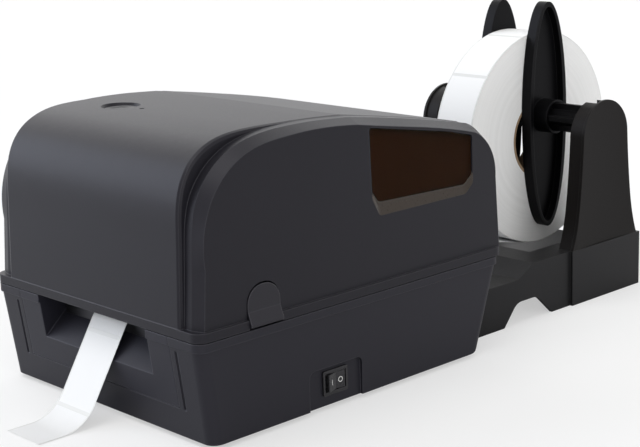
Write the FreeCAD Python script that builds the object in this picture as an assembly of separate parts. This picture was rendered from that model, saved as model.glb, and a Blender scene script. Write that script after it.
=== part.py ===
import FreeCAD
import Part
import math
import os

# Desktop label printer with a hinged hood, and the external roll stand behind it.
# Millimetres, +X right, +Y to the back, +Z up. Pieces are drawn with y = 0 at the
# printer's front and z = 0 on the table, and moved to the middle of the footprint
# when they are written.

# Driving dimensions of the printer
printer_width = 226.0
printer_length = 283.0
parting_height = 71.0
hood_height = 192.4
foot_height = 3.0
housing_wall = 2.5
hood_wall = 3.0
hood_side_wall = 4.5
parting_gap = 0.6
seam_gap = 0.4
run_gap = 0.05
free_gap = 0.4

# Lower housing
rim_band = 6.0
rim_step = 1.0
base_front_rake = 8.0
base_rear_rake = 20.0
base_side_draft = 1.2
base_rear_inset = 3.4
base_corner = 8.0
base_heel = 14.0
boss_radius = 4.5
boss_from_side = 12.0
boss_front = 84.0
boss_from_rear = 20.0

# Front panel and label outlet
panel_half = 82.0
panel_bottom = 23.0
outlet_half = 60.0
outlet_lip = 40.3
ramp_depth = 23.0
ramp_top_drop = 10.0
scoop_wall = 2.0
groove_width = 2.6
groove_depth = 0.9
groove_from_seam = 6.0
groove_low = 21.0
groove_high = 62.0

# Hood: outlines are (distance from the front, drop below the hood's height)
hood_rim = 2.0
bevel_run = 9.0
ledge_run = 7.0
hood_flange = 6.0
hood_edge = 2.5
crease_share = 0.5
rear_shoulder = 27.0

# Hinge of the hood
hinge_inset = 4.0
hinge_rise = 4.0
barrel_radius = 3.6
hinge_pin_radius = 1.5
hinge_offset = 66.0
ear_width = 8.0
knuckle_width = 11.0
knuckle_gap = 0.5

# Side windows and release tabs
window_front = 151.0
window_length = 101.0
window_low = 127.3
window_ledge = 3.0
window_thick = 1.8
window_recess = 1.4
window_sill = 6.4
tab_front = 40.5
tab_width = 27.5
tab_height = 28.4
tab_thick = 2.4
tab_lip = 3.0
tab_head_gap = 1.1
tab_pivot_drop = 8.0
tab_pivot_radius = 1.5

# Feed button and status lens in the hood's top
button_x = -48.0
button_y = 70.0
button_radius = 11.0
button_dish = 13.8
button_height = 7.0
button_travel = 1.5
lens_radius = 1.8
lens_offset = 24.0

# Label web, roll and print line
label_width = 37.0
label_thick = 0.4
web_drop = 5.0
slot_half = 58.0
web_bend_front = 18.2
web_fall = 58.7
web_bend_radius = 12.0
web_land_radius = 30.0
web_flat = 18.0
roll_radius = 87.5
core_radius = 33.4
core_bore = 31.0
roll_half = 18.5

# Platen and its drive
platen_y = 40.0
platen_radius = 8.0
platen_half = 57.0
shaft_radius = 3.0
bushing_radius = 6.0
cheek_half = 66.0
cheek_thick = 3.0
gear_module = 1.0
gear_width = 5.0
gear_gap = 2.0
platen_teeth = 24
idler_teeth = 30
pinion_teeth = 10
idler_angle = -42.0
pinion_angle = -30.0
motor_size = 35.0
motor_length = 24.0
motor_shaft = 2.5

# Media deck inside the housing
deck_drop = 11.0
deck_thick = 2.5
deck_gap = 1.5
well_front = 104.0
well_rear_margin = 24.0
well_depth = 38.0
guide_thick = 2.0
guide_length = 40.0
guide_height = 9.0
guide_y = 88.0
guide_travel = 34.0
guide_clear = 1.0
guide_teeth = 16
guide_post_radius = 2.5
rack_back = 3.0
stem_near = 4.0
stem_far = 10.0

# Print head and ribbon carriage in the hood
head_half = 56.0
head_length = 18.0
head_thick = 3.0
bracket_thick = 3.0
spring_radius = 3.5
spring_x = 22.0
frame_half = 78.0
frame_thick = 3.0
frame_low = 9.0
supply_y = 118.0
supply_rise = 55.0
supply_radius = 31.0
takeup_y = 62.0
takeup_rise = 62.0
ribbon_core = 12.7
ribbon_bore = 6.0
ribbon_half = 56.0

# Power switch
switch_y = 114.5
switch_z = 18.5
switch_length = 22.0
switch_tall = 17.0
switch_depth = 16.0
switch_frame = 1.5
rocker_half = 8.2
rocker_tall = 11.6
rocker_tilt = 7.0
rocker_pin_radius = 1.4
rocker_pin_length = 0.6
pocket_length = 48.0
pocket_height = 30.0
pocket_depth = 2.0

# Roll stand
stand_half = 86.0
stand_front_gap = 4.0
deck_low = 35.0
foot_top = 44.5
foot_step = 2.5
stand_wall = 2.5
spindle_reach = 160.0
spindle_height = 142.0
foot_front_reach = 43.0
foot_rear_reach = 47.0
slope_start = 53.0
slope_end = 71.0
roll_well_gap = 14.0
roll_well_half = 60.0
scallop_front = 35.0
scallop_length = 60.0
scallop_height = 17.0
tongue_reach = 22.0
tongue_thick = 2.0
upright_thick = 15.0
upright_top = 18.0
upright_cheek = 3.0
upright_crown = 28.7
upright_flare = [0.0, 0.11, 0.27, 0.51, 1.0]
upright_dish = 700.0
upright_dish_depth = 1.0
spindle_radius = 11.5
spindle_rib = 4.0
journal_radius = 6.8
journal_length = 9.0
guide_plate_height = 186.0
guide_plate_width = 47.0
guide_plate_thick = 9.0
guide_plate_rim = 4.0
guide_plate_floor = 3.0
collar_radius = 13.8
collar_length = 8.5
roll_side_gap = 0.5

V = FreeCAD.Vector
half_w = printer_width / 2
rear = printer_length
crease = rear * crease_share
bevel_half = half_w - hood_rim
ledge_half = bevel_half - bevel_run
centre_half = ledge_half - ledge_run
base_top = parting_height - parting_gap / 2
lid_low = parting_height + parting_gap / 2
floor_low = foot_height
floor_top = foot_height + housing_wall
web_z = parting_height - web_drop
hinge_y = rear - hinge_inset
hinge_z = parting_height + hinge_rise
spindle_y = rear + spindle_reach
roll_z = spindle_height + spindle_radius + free_gap - core_bore
stand_front = rear + stand_front_gap
stand_rear = spindle_y + foot_rear_reach
web_land = web_bend_front - (web_z - label_thick / 2) / math.tan(math.radians(web_fall))
web_end = web_land - web_land_radius * math.tan(math.radians(web_fall / 2)) - web_flat
roll_rear = spindle_y + roll_radius
middle = V(0, -(web_end + max(stand_rear, roll_rear)) / 2, 0)
os.makedirs("parts", exist_ok=True)


def write(name, shape):
    """Moves a piece to the footprint's middle and writes it."""
    placed = shape.copy()
    placed.translate(middle)
    placed.exportStep("parts/" + name + ".step")


def box(x0, x1, y0, y1, z0, z1):
    return Part.makeBox(x1 - x0, y1 - y0, z1 - z0, V(x0, y0, z0))


def rod_x(x0, x1, y, z, radius):
    return Part.makeCylinder(radius, x1 - x0, V(x0, y, z), V(1, 0, 0))


def rod_y(x, y0, y1, z, radius):
    return Part.makeCylinder(radius, y1 - y0, V(x, y0, z), V(0, 1, 0))


def rod_z(x, y, z0, z1, radius):
    return Part.makeCylinder(radius, z1 - z0, V(x, y, z0), V(0, 0, 1))


def hex_rod(x, y, z0, z1, radius):
    """Upright six-sided bar, its corners on the radius."""
    turns = [math.radians(60 * i) for i in range(7)]
    outline = Part.makePolygon([V(x + radius * math.cos(t), y + radius * math.sin(t), z0) for t in turns])
    return Part.Face(outline).extrude(V(0, 0, z1 - z0))


def fuse(pieces):
    whole = pieces[0]
    for piece in pieces[1:]:
        whole = whole.fuse(piece)
    return whole.removeSplitter()


def cut(shape, tools):
    for tool in tools:
        shape = shape.cut(tool)
    return shape


def mirrored(shape):
    return shape.mirror(V(0, 0, 0), V(1, 0, 0))


def rounded_wire(points, radii):
    """Closed outline through the points, with a tangent arc at each corner that has a radius."""
    edges = []
    starts = []
    ends = []
    count = len(points)
    for i, corner in enumerate(points):
        before = (points[i - 1] - corner).normalize()
        after = (points[(i + 1) % count] - corner).normalize()
        if radii[i] == 0:
            starts.append(corner)
            ends.append(corner)
            edges.append(None)
            continue
        half = before.getAngle(after) / 2
        reach = radii[i] / math.tan(half)
        first = corner + before * reach
        last = corner + after * reach
        bisector = (before + after).normalize()
        top = corner + bisector * (radii[i] / math.sin(half) - radii[i])
        starts.append(first)
        ends.append(last)
        edges.append(Part.Arc(first, top, last).toShape())
    wire = []
    for i in range(count):
        if edges[i]:
            wire.append(edges[i])
        following = starts[(i + 1) % count]
        if (following - ends[i]).Length > 1e-6:
            wire.append(Part.LineSegment(ends[i], following).toShape())
    return Part.Wire(wire)


def prism_x(outline, radii, x0, x1):
    """Extrudes a (y, z) outline across X."""
    wire = rounded_wire([V(x0, y, z) for y, z in outline], radii)
    return Part.Face(wire).extrude(V(x1 - x0, 0, 0))


def prism_z(outline, radii, z0, z1):
    """Extrudes an (x, y) outline upwards."""
    wire = rounded_wire([V(x, y, z0) for x, y in outline], radii)
    return Part.Face(wire).extrude(V(0, 0, z1 - z0))


def plan(half, front, back):
    return [(-half, front), (half, front), (half, back), (-half, back)]


def plan_wire(half, front, back, radius, z):
    return rounded_wire([V(x, y, z) for x, y in plan(half, front, back)], [radius] * 4)


mesh_gap = 0.12
tooth_tip_half = 0.36
tooth_root_half = 0.98
tooth_root_depth = 1.25


def gear(teeth, bore, base, across, up, axis, turn):
    """Spur gear with straight-flanked teeth, thinned for backlash, on the plane of two directions."""
    pitch = gear_module * teeth / 2
    tip = pitch + gear_module
    root = pitch - tooth_root_depth * gear_module
    tip_half = tooth_tip_half * gear_module / tip
    root_half = tooth_root_half * gear_module / root
    points = []
    for i in range(teeth):
        centre = math.radians(turn) + i * 2 * math.pi / teeth
        for radius, angle in ((root, -root_half), (tip, -tip_half), (tip, tip_half), (root, root_half)):
            reach = across * math.cos(centre + angle) + up * math.sin(centre + angle)
            points.append(base + reach * radius)
    blank = Part.Face(Part.makePolygon(points + points[:1])).extrude(axis * gear_width)
    return blank.cut(Part.makeCylinder(bore, gear_width, base, axis))


def drive_gear(teeth, bore, y, z, turn):
    return gear(teeth, bore, V(gear_x, y, z), V(0, 1, 0), V(0, 0, 1), V(1, 0, 0), turn)


# Lower housing: a drafted tub under a plain rim band, with a raked front and rear
band_low = parting_height - rim_band
base_rear = rear - base_rear_inset
low_half = half_w - rim_step - base_side_draft
low_front = rim_step + base_front_rake
low_rear = base_rear - rim_step - base_rear_rake


def tub(inset, z_low, z_band, z_high):
    """Solid of the housing's outside, or of its inside when inset by the wall."""
    low = plan_wire(low_half - inset, low_front + inset, low_rear - inset, base_corner, z_low)
    high = plan_wire(half_w - rim_step - inset, rim_step + inset, base_rear - rim_step - inset,
                     base_corner, z_band)
    band = prism_z(plan(half_w - inset, inset, base_rear - inset), [base_corner] * 4, z_band, z_high)
    return Part.makeLoft([low, high], True, True).fuse(band)


heel_outline = [(-1, floor_low), (low_rear, floor_low), (base_rear, base_top + 1), (-1, base_top + 1)]
heel = prism_x(heel_outline, [0, base_heel, 0, 0], -half_w, half_w)
inner_void = Part.makeLoft(
    [plan_wire(low_half - housing_wall, low_front + housing_wall, low_rear - housing_wall - base_heel / 2,
               base_corner, floor_top),
     plan_wire(half_w - rim_step - housing_wall, rim_step + housing_wall,
               base_rear - rim_step - housing_wall, base_corner, base_top + 1)], True, True)
housing = tub(0, floor_low, band_low, base_top).common(heel).cut(inner_void)

deck_top = parting_height - deck_drop
deck_low_face = deck_top - deck_thick
deck_half = half_w - rim_step - base_side_draft - housing_wall - deck_gap
boss_x = half_w - boss_from_side - base_side_draft - boss_radius
boss_rear = rear - boss_from_rear
boss_places = [(side * boss_x, y) for side in (-1, 1) for y in (boss_front, boss_rear)]
gusset_low = deck_low_face - 30.0
gusset_outline = [(boss_rear - boss_radius, deck_low_face), (boss_rear + boss_radius, deck_low_face),
                  (boss_rear + boss_radius, gusset_low), (boss_rear - boss_radius, gusset_low)]
housing_solid = tub(0.2, floor_low, band_low, base_top).common(heel)
bosses = []
for side in (-1, 1):
    bosses.append(rod_z(side * boss_x, boss_front, floor_low + 1, deck_low_face, boss_radius))
    gusset = prism_x(gusset_outline, [0] * 4, side * boss_x - boss_radius, side * boss_x + boss_radius)
    bosses.append(gusset.common(housing_solid))

ear_low = web_z - 6.0
ears = []
for side in (-1, 1):
    x0 = side * hinge_offset - ear_width / 2
    ear_root = hinge_y - 2 * barrel_radius
    ear_outline = [(ear_root, ear_low), (base_rear - 3.0 * rim_step, ear_low), (base_rear - 0.2, ear_low + 6.0),
                   (base_rear - 0.2, hinge_z), (hinge_y - barrel_radius, hinge_z), (ear_root, base_top)]
    ear_foot = prism_x(ear_outline, [0] * 6, x0, x0 + ear_width)
    ears.append(ear_foot.fuse(rod_x(x0, x0 + ear_width, hinge_y, hinge_z, barrel_radius)))

pocket_face = half_w - rim_step - base_side_draft - pocket_depth
switch_pad = box(pocket_face - housing_wall, pocket_face + 1, switch_y - pocket_length / 2 - 2,
                 switch_y + pocket_length / 2 + 2, floor_low + 0.5, pocket_height + 3)
pocket_outline = [(switch_y - pocket_length / 2, floor_low - 5), (switch_y + pocket_length / 2, floor_low - 5),
                  (switch_y + pocket_length / 2, pocket_height), (switch_y - pocket_length / 2, pocket_height)]
pocket = prism_x(pocket_outline, [0, 0, 5, 5], pocket_face, half_w + 1)
switch_hole = box(pocket_face - 2 * housing_wall, pocket_face + 1,
                  switch_y - switch_length / 2 + switch_frame, switch_y + switch_length / 2 - switch_frame,
                  switch_z - switch_tall / 2 + switch_frame, switch_z + switch_tall / 2 - switch_frame)


def front_face_y(z):
    """The raked front face at a height."""
    return rim_step + base_front_rake * (band_low - z) / (band_low - floor_low)


panel_cut = box(-panel_half - seam_gap, panel_half + seam_gap, -1, rim_step + housing_wall + 12,
                panel_bottom - seam_gap, base_top + 1)
rear_slot = box(-slot_half, slot_half, base_rear - 12, base_rear + 1, web_z - 4.0, base_top + 1)


def rear_face_y(z):
    """The raked rear face at a height."""
    return base_rear - rim_step - base_rear_rake * (band_low - z) / (band_low - floor_low)


socket_z = 30.0
inlet_x = -62.0
usb_x = -34.0
inlet_size = 12.0
usb_width = 13.0
socket_margin = 4.0
socket_flange = 2.0
socket_low = socket_z - inlet_size / 2 - socket_margin
socket_high = socket_z + inlet_size / 2 + socket_margin
socket_left = inlet_x - inlet_size / 2 - socket_margin
socket_right = usb_x + usb_width / 2 + socket_margin
socket_face = rear_face_y(socket_low) - 1.0
socket_back = socket_face - 4.0
socket_pad = box(socket_left - housing_wall, socket_right + housing_wall, socket_back, rear,
                 socket_low - housing_wall, socket_high + housing_wall)
socket_pocket = box(socket_left, socket_right, socket_face, rear, socket_low, socket_high)
inlet_hole = box(inlet_x - inlet_size / 2, inlet_x + inlet_size / 2, socket_back - 9, rear,
                 socket_z - inlet_size / 2, socket_z + inlet_size / 2)
usb_hole = box(usb_x - usb_width / 2, usb_x + usb_width / 2, socket_back - 9, rear,
               socket_z - inlet_size / 2, socket_z + inlet_size / 2)
socket_room = box(socket_left, socket_right, socket_back - 20, socket_back, socket_low, socket_high)
grooves = []
for side in (-1, 1):
    x = side * (panel_half + groove_from_seam)
    low_y = front_face_y(groove_low)
    high_y = front_face_y(groove_high)
    outline = [(low_y - 1, groove_low), (low_y + groove_depth, groove_low + 2),
               (high_y + groove_depth, groove_high), (high_y - 1, groove_high)]
    grooves.append(prism_x(outline, [0] * 4, x - groove_width / 2, x + groove_width / 2))
housing = fuse([housing, switch_pad.common(housing_solid), socket_pad.common(housing_solid)] + bosses + ears)
housing = cut(housing, [pocket, switch_hole, panel_cut, rear_slot, socket_pocket, socket_room,
                        inlet_hole, usb_hole] + grooves)
housing = cut(housing, [rod_x(side * hinge_offset - ear_width, side * hinge_offset + ear_width,
                              hinge_y, hinge_z, hinge_pin_radius) for side in (-1, 1)])
screw_radius = 1.5
screw_head = 3.0
screw_head_thick = 2.0
screw_length = 9.0
housing = cut(housing, [rod_z(x, y, deck_low_face - screw_length, deck_low_face + 1, screw_radius)
                        for x, y in boss_places])
write("lower_housing", housing)

# Front panel: a plate in the front wall with the outlet scoop behind it
panel_outline = [(front_face_y(panel_bottom), panel_bottom), (front_face_y(band_low), band_low),
                 (0.0, band_low), (0.0, base_top), (housing_wall, base_top),
                 (front_face_y(band_low) + housing_wall, band_low),
                 (front_face_y(panel_bottom) + housing_wall, panel_bottom)]
panel = prism_x(panel_outline, [0] * 7, -panel_half, panel_half)
lip_y = front_face_y(outlet_lip)
ramp_y = lip_y + ramp_depth
ramp_z = parting_height - ramp_top_drop
scoop = prism_x([(lip_y, outlet_lip), (ramp_y, ramp_z), (ramp_y, ramp_z - 1.4 * scoop_wall),
                 (lip_y + 1.4 * scoop_wall, outlet_lip - 1.0), (lip_y + 0.3, outlet_lip - 1.0)], [0] * 5,
                -outlet_half, outlet_half)
mouth = prism_x([(-1, outlet_lip - 1.0), (lip_y, outlet_lip), (ramp_y, ramp_z),
                 (ramp_y, base_top + 1), (-1, base_top + 1)],
                [0] * 5, -outlet_half, outlet_half)
scoop_sides = []
for side in (-1, 1):
    x0 = side * (outlet_half + scoop_wall / 2) - scoop_wall / 2
    scoop_sides.append(prism_x([(lip_y + 0.5, outlet_lip), (ramp_y, ramp_z - 1.4 * scoop_wall),
                                (ramp_y, base_top),
                                (0.5, base_top)], [0] * 4, x0, x0 + scoop_wall))
panel = fuse([panel] + scoop_sides).cut(mouth).fuse(scoop).removeSplitter()
write("front_panel", panel)

# Rubber feet under the housing
pad_width = 16.0
pad_length = 10.0
pad_inset = 22.0
feet = []
for x in (-half_w + pad_inset, half_w - pad_inset):
    for y in (low_front + pad_inset, low_rear - base_heel - pad_inset):
        feet.append(box(x - pad_width / 2, x + pad_width / 2, y - pad_length / 2, y + pad_length / 2,
                        0, foot_height))
write("rubber_feet", Part.makeCompound(feet))

# Media deck: a tray with a round well for a roll, cheeks for the platen and the drive's side plate
well_rear = rear - well_rear_margin - 14.0
well_mid = (well_front + well_rear) / 2
well_half = (well_rear - well_front) / 2
well_radius = (well_half ** 2 + well_depth ** 2) / (2 * well_depth)
well_axis = deck_top - well_depth + well_radius
platen_z = web_z - label_thick / 2 - free_gap - platen_radius
deck_front = platen_y + platen_radius + 4.0
deck_rear = base_rear - rim_step - housing_wall - 7.0
well_outer = rod_x(-deck_half + 12, deck_half - 12, well_mid, well_axis, well_radius + deck_thick)
well_inner = rod_x(-deck_half + 12 + deck_thick, deck_half - 12 - deck_thick, well_mid, well_axis, well_radius)
below_deck = box(-half_w, half_w, 0, rear, 0, deck_top)
deck_plate = prism_z(plan(deck_half, deck_front, deck_rear), [6] * 4, deck_low_face, deck_top)
deck = deck_plate.fuse(well_outer.common(below_deck)).cut(well_inner)
cheek_front = platen_y - bushing_radius - 4.0
cheek_back = deck_front + 8.0
gear_x = -cheek_half - cheek_thick - gear_gap - gear_width
idler_reach = gear_module * (platen_teeth + idler_teeth) / 2 + mesh_gap
pinion_reach = gear_module * (idler_teeth + pinion_teeth) / 2 + mesh_gap
idler_y = platen_y + idler_reach * math.cos(math.radians(idler_angle))
idler_z = platen_z + idler_reach * math.sin(math.radians(idler_angle))
motor_y = idler_y + pinion_reach * math.cos(math.radians(pinion_angle))
motor_z = idler_z + pinion_reach * math.sin(math.radians(pinion_angle))
right_cheek = prism_x([(cheek_front, platen_z - 10), (cheek_back, platen_z - 16), (cheek_back, deck_top),
                       (cheek_front, deck_top)], [4, 0, 0, 4], cheek_half, cheek_half + cheek_thick)
drive_plate = prism_x([(cheek_front, platen_z - 10), (motor_y - motor_size / 2, motor_z - motor_size / 2 + 2),
                       (motor_y + motor_size / 2, motor_z - motor_size / 2 + 2),
                       (motor_y + motor_size / 2, deck_low_face + 1), (cheek_back, deck_top),
                       (cheek_front, deck_top)],
                      [4, 3, 3, 0, 0, 4], -cheek_half - cheek_thick, -cheek_half)
catch_x = half_w - 16.0
catch_blocks = [box(min(s * (catch_x - 5), s * catch_x), max(s * (catch_x - 5), s * catch_x), tab_front + 16,
                    tab_front + 30, deck_low_face + 1, deck_top + 5) for s in (-1, 1)]
gear_room = box(gear_x - 3.0, gear_x + gear_width + gear_gap, deck_front - 1, platen_y + 20.0,
                deck_low_face - 1, deck_top + 1)
deck = fuse([deck.cut(gear_room), right_cheek, drive_plate] + catch_blocks)
deck = cut(deck, [rod_x(-half_w, half_w, platen_y, platen_z, bushing_radius),
                  rod_x(-half_w, -cheek_half + 1, motor_y, motor_z, motor_shaft + 1.5)])
deck = cut(deck, [rod_z(x, y, deck_low_face - 1, deck_top + 1, screw_radius + 0.3) for x, y in boss_places])
idler_post_radius = 2.5
guide_pitch = gear_module * guide_teeth / 2
rack_row = guide_pitch + tooth_root_depth * gear_module + rack_back / 2
rack_low = deck_low_face - free_gap - gear_width
guide_slots = []
for side in (-1, 1):
    slot_near = side * (label_width / 2 + guide_clear + stem_near - free_gap)
    slot_far = side * (label_width / 2 + guide_clear + stem_far + guide_travel + free_gap)
    slot_row = guide_y + side * rack_row
    guide_slots.append(box(min(slot_near, slot_far), max(slot_near, slot_far),
                           slot_row - rack_back / 2 - free_gap,
                           slot_row + rack_back / 2 + free_gap, deck_low_face - 1, deck_top + 1))
guide_post = rod_z(0, guide_y, rack_low - free_gap, deck_low_face + 1, guide_post_radius)
guide_clip = rod_z(0, guide_y, rack_low - free_gap - 1.5, rack_low - free_gap, guide_post_radius + 1.5)
deck = fuse([cut(deck, guide_slots), guide_post, guide_clip])
deck = deck.cut(rod_x(-half_w, -cheek_half + 1, idler_y, idler_z, idler_post_radius))
write("media_deck", deck)

deck_screws = []
for x, y in boss_places:
    head = hex_rod(x, y, deck_top, deck_top + screw_head_thick, screw_head)
    shank = hex_rod(x, y, deck_low_face - screw_length + 1, deck_top, screw_radius)
    deck_screws.append(head.fuse(shank).removeSplitter())
write("deck_screws", Part.makeCompound(deck_screws))

# Platen: rubber sleeve on a steel shaft in flanged bushings, driven through the idler by the motor
shaft_left = gear_x - 1.0
shaft_right = cheek_half + cheek_thick + 3.0
write("platen_roller", rod_x(-platen_half, platen_half, platen_y, platen_z, platen_radius).cut(
    rod_x(-platen_half, platen_half, platen_y, platen_z, shaft_radius)))
write("platen_shaft", rod_x(shaft_left, shaft_right, platen_y, platen_z, shaft_radius))
write("platen_gear", drive_gear(platen_teeth, shaft_radius, platen_y, platen_z, idler_angle))
bushings = []
for side in (-1, 1):
    x0 = min(side * (cheek_half - 1.5), side * (cheek_half + cheek_thick))
    x1 = max(side * (cheek_half - 1.5), side * (cheek_half + cheek_thick))
    sleeve = rod_x(x0, x1, platen_y, platen_z, bushing_radius)
    collar0 = min(side * (cheek_half - 1.5), side * cheek_half)
    collar = rod_x(collar0, collar0 + 1.5, platen_y, platen_z, bushing_radius + 1.5)
    hole = rod_x(x0 - 1, x1 + 1, platen_y, platen_z, shaft_radius + run_gap)
    bushings.append(sleeve.fuse(collar).cut(hole).removeSplitter())
write("platen_bushings", Part.makeCompound(bushings))
idler_step = 360.0 / idler_teeth
write("idler_gear", drive_gear(idler_teeth, idler_post_radius + run_gap, idler_y, idler_z,
                               idler_angle + 180 + idler_step / 2))
post_flange = rod_x(-cheek_half - cheek_thick - 1.2, -cheek_half - cheek_thick, idler_y, idler_z, 4.5)
post_head = rod_x(gear_x - 1.6, gear_x - 0.4, idler_y, idler_z, 4.0)
post_stem = rod_x(gear_x - 1.6, -cheek_half, idler_y, idler_z, idler_post_radius)
write("idler_post", fuse([post_flange, post_head, post_stem]))
idler_gap_turn = (pinion_angle - idler_angle - 180 - idler_step / 2) / idler_step
idler_phase = (idler_gap_turn - math.floor(idler_gap_turn)) * 360.0 / pinion_teeth
write("motor_pinion", drive_gear(pinion_teeth, motor_shaft, motor_y, motor_z,
                                 pinion_angle + 180 + 180.0 / pinion_teeth + idler_phase))
motor_case = prism_x([(motor_y - motor_size / 2, motor_z - motor_size / 2),
                      (motor_y + motor_size / 2, motor_z - motor_size / 2),
                      (motor_y + motor_size / 2, motor_z + motor_size / 2),
                      (motor_y - motor_size / 2, motor_z + motor_size / 2)], [5] * 4,
                     -cheek_half, -cheek_half + motor_length)
write("stepper_motor", motor_case)
write("motor_shaft", rod_x(gear_x - 1, -cheek_half, motor_y, motor_z, motor_shaft))

# Tear bar across the outlet, on the front panel's ramp
bar_y = ramp_y - 4.0
bar_low = outlet_lip + (bar_y - 3.0 - lip_y) * (ramp_z - outlet_lip) / ramp_depth
bar_outline = [(bar_y - 3.0, bar_low), (ramp_y, ramp_z), (ramp_y, web_z - 2.0), (bar_y + 1.0, web_z - 1.2),
               (bar_y - 3.0, web_z - 3.0)]
write("tear_bar", prism_x(bar_outline, [0] * 5, -platen_half, platen_half))

# Label guides: two fins that open together over the deck, on racks that share a pinion under it
guide_x = label_width / 2 + guide_clear
tooth_pitch = math.pi * gear_module
for side, name in ((-1, "label_guide_left"), (1, "label_guide_right")):
    fin = prism_x([(guide_y - guide_length / 2, deck_top), (guide_y + guide_length / 2, deck_top),
                   (guide_y + guide_length / 2, deck_top + guide_height),
                   (guide_y - guide_length / 2, deck_top + guide_height)], [0, 0, 4, 4],
                  guide_x, guide_x + guide_thick)
    sole = box(guide_x, guide_x + stem_far + 4, guide_y - 16, guide_y + 16, deck_top, deck_top + 1.6)
    thumb = box(guide_x + stem_far, guide_x + stem_far + 4, guide_y - 8, guide_y + 8, deck_top,
                deck_top + guide_height - 2)
    row = guide_y + rack_row
    stem = box(guide_x + stem_near, guide_x + stem_far, row - rack_back / 2, row + rack_back / 2,
               rack_low, deck_top + 1)
    bar = box(-guide_travel - 8, guide_x + stem_far, row - rack_back / 2, row + rack_back / 2,
              rack_low, rack_low + gear_width)
    pieces = [fin, sole, thumb, stem, bar]
    first_tooth = -math.floor((guide_travel + 8) / tooth_pitch)
    last_tooth = math.floor((guide_x + stem_far) / tooth_pitch)
    for i in range(first_tooth, last_tooth):
        x = (i + 0.5) * tooth_pitch
        tooth = [(x - tooth_root_half, row - rack_back / 2 + 0.1),
                 (x + tooth_root_half, row - rack_back / 2 + 0.1),
                 (x + tooth_tip_half, guide_y + guide_pitch - gear_module),
                 (x - tooth_tip_half, guide_y + guide_pitch - gear_module)]
        pieces.append(prism_z(tooth, [0] * 4, rack_low, rack_low + gear_width))
    guide = fuse(pieces)
    if side < 0:
        guide.rotate(V(0, guide_y, 0), V(0, 0, 1), 180)
    write(name, guide)
write("guide_pinion", gear(guide_teeth, guide_post_radius + run_gap, V(0, guide_y, rack_low),
                           V(1, 0, 0), V(0, 1, 0),
                           V(0, 0, 1), 0.0))

# Circuit board on the floor with the rear sockets
board_z = floor_top + 4.0
board_thick = 1.6
board_front = 112.0
board_rear = low_rear - housing_wall - base_heel
board_left = -half_w + 35.0
board_right = half_w - 43.0
board_top = board_z + board_thick
board_inset = 8.0
chip_rows = [(-20.0, 31.0, 20.0, 20.0, 2.0), (20.0, 41.0, 14.0, 14.0, 2.0), (40.0, 71.0, 20.0, 6.0, 5.0)]
board = box(board_left, board_right, board_front, board_rear, board_z, board_top)
chips = [box(x, x + across, board_front + back, board_front + back + along, board_top, board_top + rise)
         for x, back, across, along, rise in chip_rows]
stand_offs = [hex_rod(x, y, floor_top, board_z, 3.0)
              for x in (board_left + board_inset, board_right - board_inset)
              for y in (board_front + board_inset, board_rear - 1.5 * board_inset)]
write("circuit_board", fuse([board] + chips))
write("board_standoffs", Part.makeCompound(stand_offs))
socket_depth = 12.0
socket_front = socket_face + 0.4


def socket(x, width):
    """Panel-mounted socket block with a flange against the pad's inner face."""
    block = box(x - width / 2, x + width / 2, socket_back - socket_depth, socket_front,
                socket_z - inlet_size / 2, socket_z + inlet_size / 2)
    rim = box(x - width / 2 - socket_flange, x + width / 2 + socket_flange,
              socket_back - socket_flange, socket_back,
              socket_z - inlet_size / 2 - socket_flange, socket_z + inlet_size / 2 + socket_flange)
    return block.fuse(rim)


inlet = socket(inlet_x, inlet_size).cut(rod_y(inlet_x, socket_back - 6, rear, socket_z, 4.0))
write("dc_inlet", fuse([inlet, rod_y(inlet_x, socket_back - 7, socket_face - 1, socket_z, 1.2)]))
usb_mouth = box(usb_x - 4.3, usb_x + 4.3, socket_back - 6, rear, socket_z - 4.0, socket_z + 4.0)
usb_tongue = box(usb_x - 2.6, usb_x + 2.6, socket_back - 7, socket_face - 1, socket_z - 1.4, socket_z + 1.4)
write("usb_socket", fuse([socket(usb_x, usb_width).cut(usb_mouth), usb_tongue]))

# Power switch: a framed housing through the side wall, with the rocker between its walls
rocker_void = rocker_half + 1.1
frame_face = pocket_face + switch_frame
switch_flange = prism_x([(switch_y - switch_length / 2, switch_z - switch_tall / 2),
                         (switch_y + switch_length / 2, switch_z - switch_tall / 2),
                         (switch_y + switch_length / 2, switch_z + switch_tall / 2),
                         (switch_y - switch_length / 2, switch_z + switch_tall / 2)], [1] * 4,
                        pocket_face, frame_face)
switch_body = box(pocket_face - switch_depth, pocket_face, switch_y - switch_length / 2 + switch_frame + 0.2,
                  switch_y + switch_length / 2 - switch_frame - 0.2,
                  switch_z - switch_tall / 2 + switch_frame + 0.2,
                  switch_z + switch_tall / 2 - switch_frame - 0.2)
rocker_room = box(pocket_face - 9.0, frame_face + 1, switch_y - rocker_void, switch_y + rocker_void,
                  switch_z - rocker_tall / 2 - free_gap, switch_z + rocker_tall / 2 + free_gap)
rocker_x = pocket_face - 2.0
pin_reach = rocker_tall / 2 + free_gap + rocker_pin_length
pin_hole = rod_z(rocker_x, switch_y, switch_z - pin_reach - 1, switch_z + pin_reach + 1,
                 rocker_pin_radius + run_gap)
write("switch_housing", cut(switch_flange.fuse(switch_body), [rocker_room, pin_hole]).removeSplitter())
rocker_outline = [(rocker_x + 4.6, switch_y - rocker_half), (rocker_x + 3.0, switch_y),
                  (rocker_x + 4.6, switch_y + rocker_half), (rocker_x - 0.5, switch_y + rocker_half),
                  (rocker_x - 4.0, switch_y), (rocker_x - 0.5, switch_y - rocker_half)]
rocker_radii = [0.6, 0, 0.6, 1.0, 2.5, 1.0]
rocker = prism_z(rocker_outline, rocker_radii, switch_z - rocker_tall / 2, switch_z + rocker_tall / 2)
rocker.rotate(V(rocker_x, switch_y, 0), V(0, 0, 1), rocker_tilt)
rocker_pins = rod_z(rocker_x, switch_y, switch_z - pin_reach, switch_z + pin_reach, rocker_pin_radius)
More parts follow.
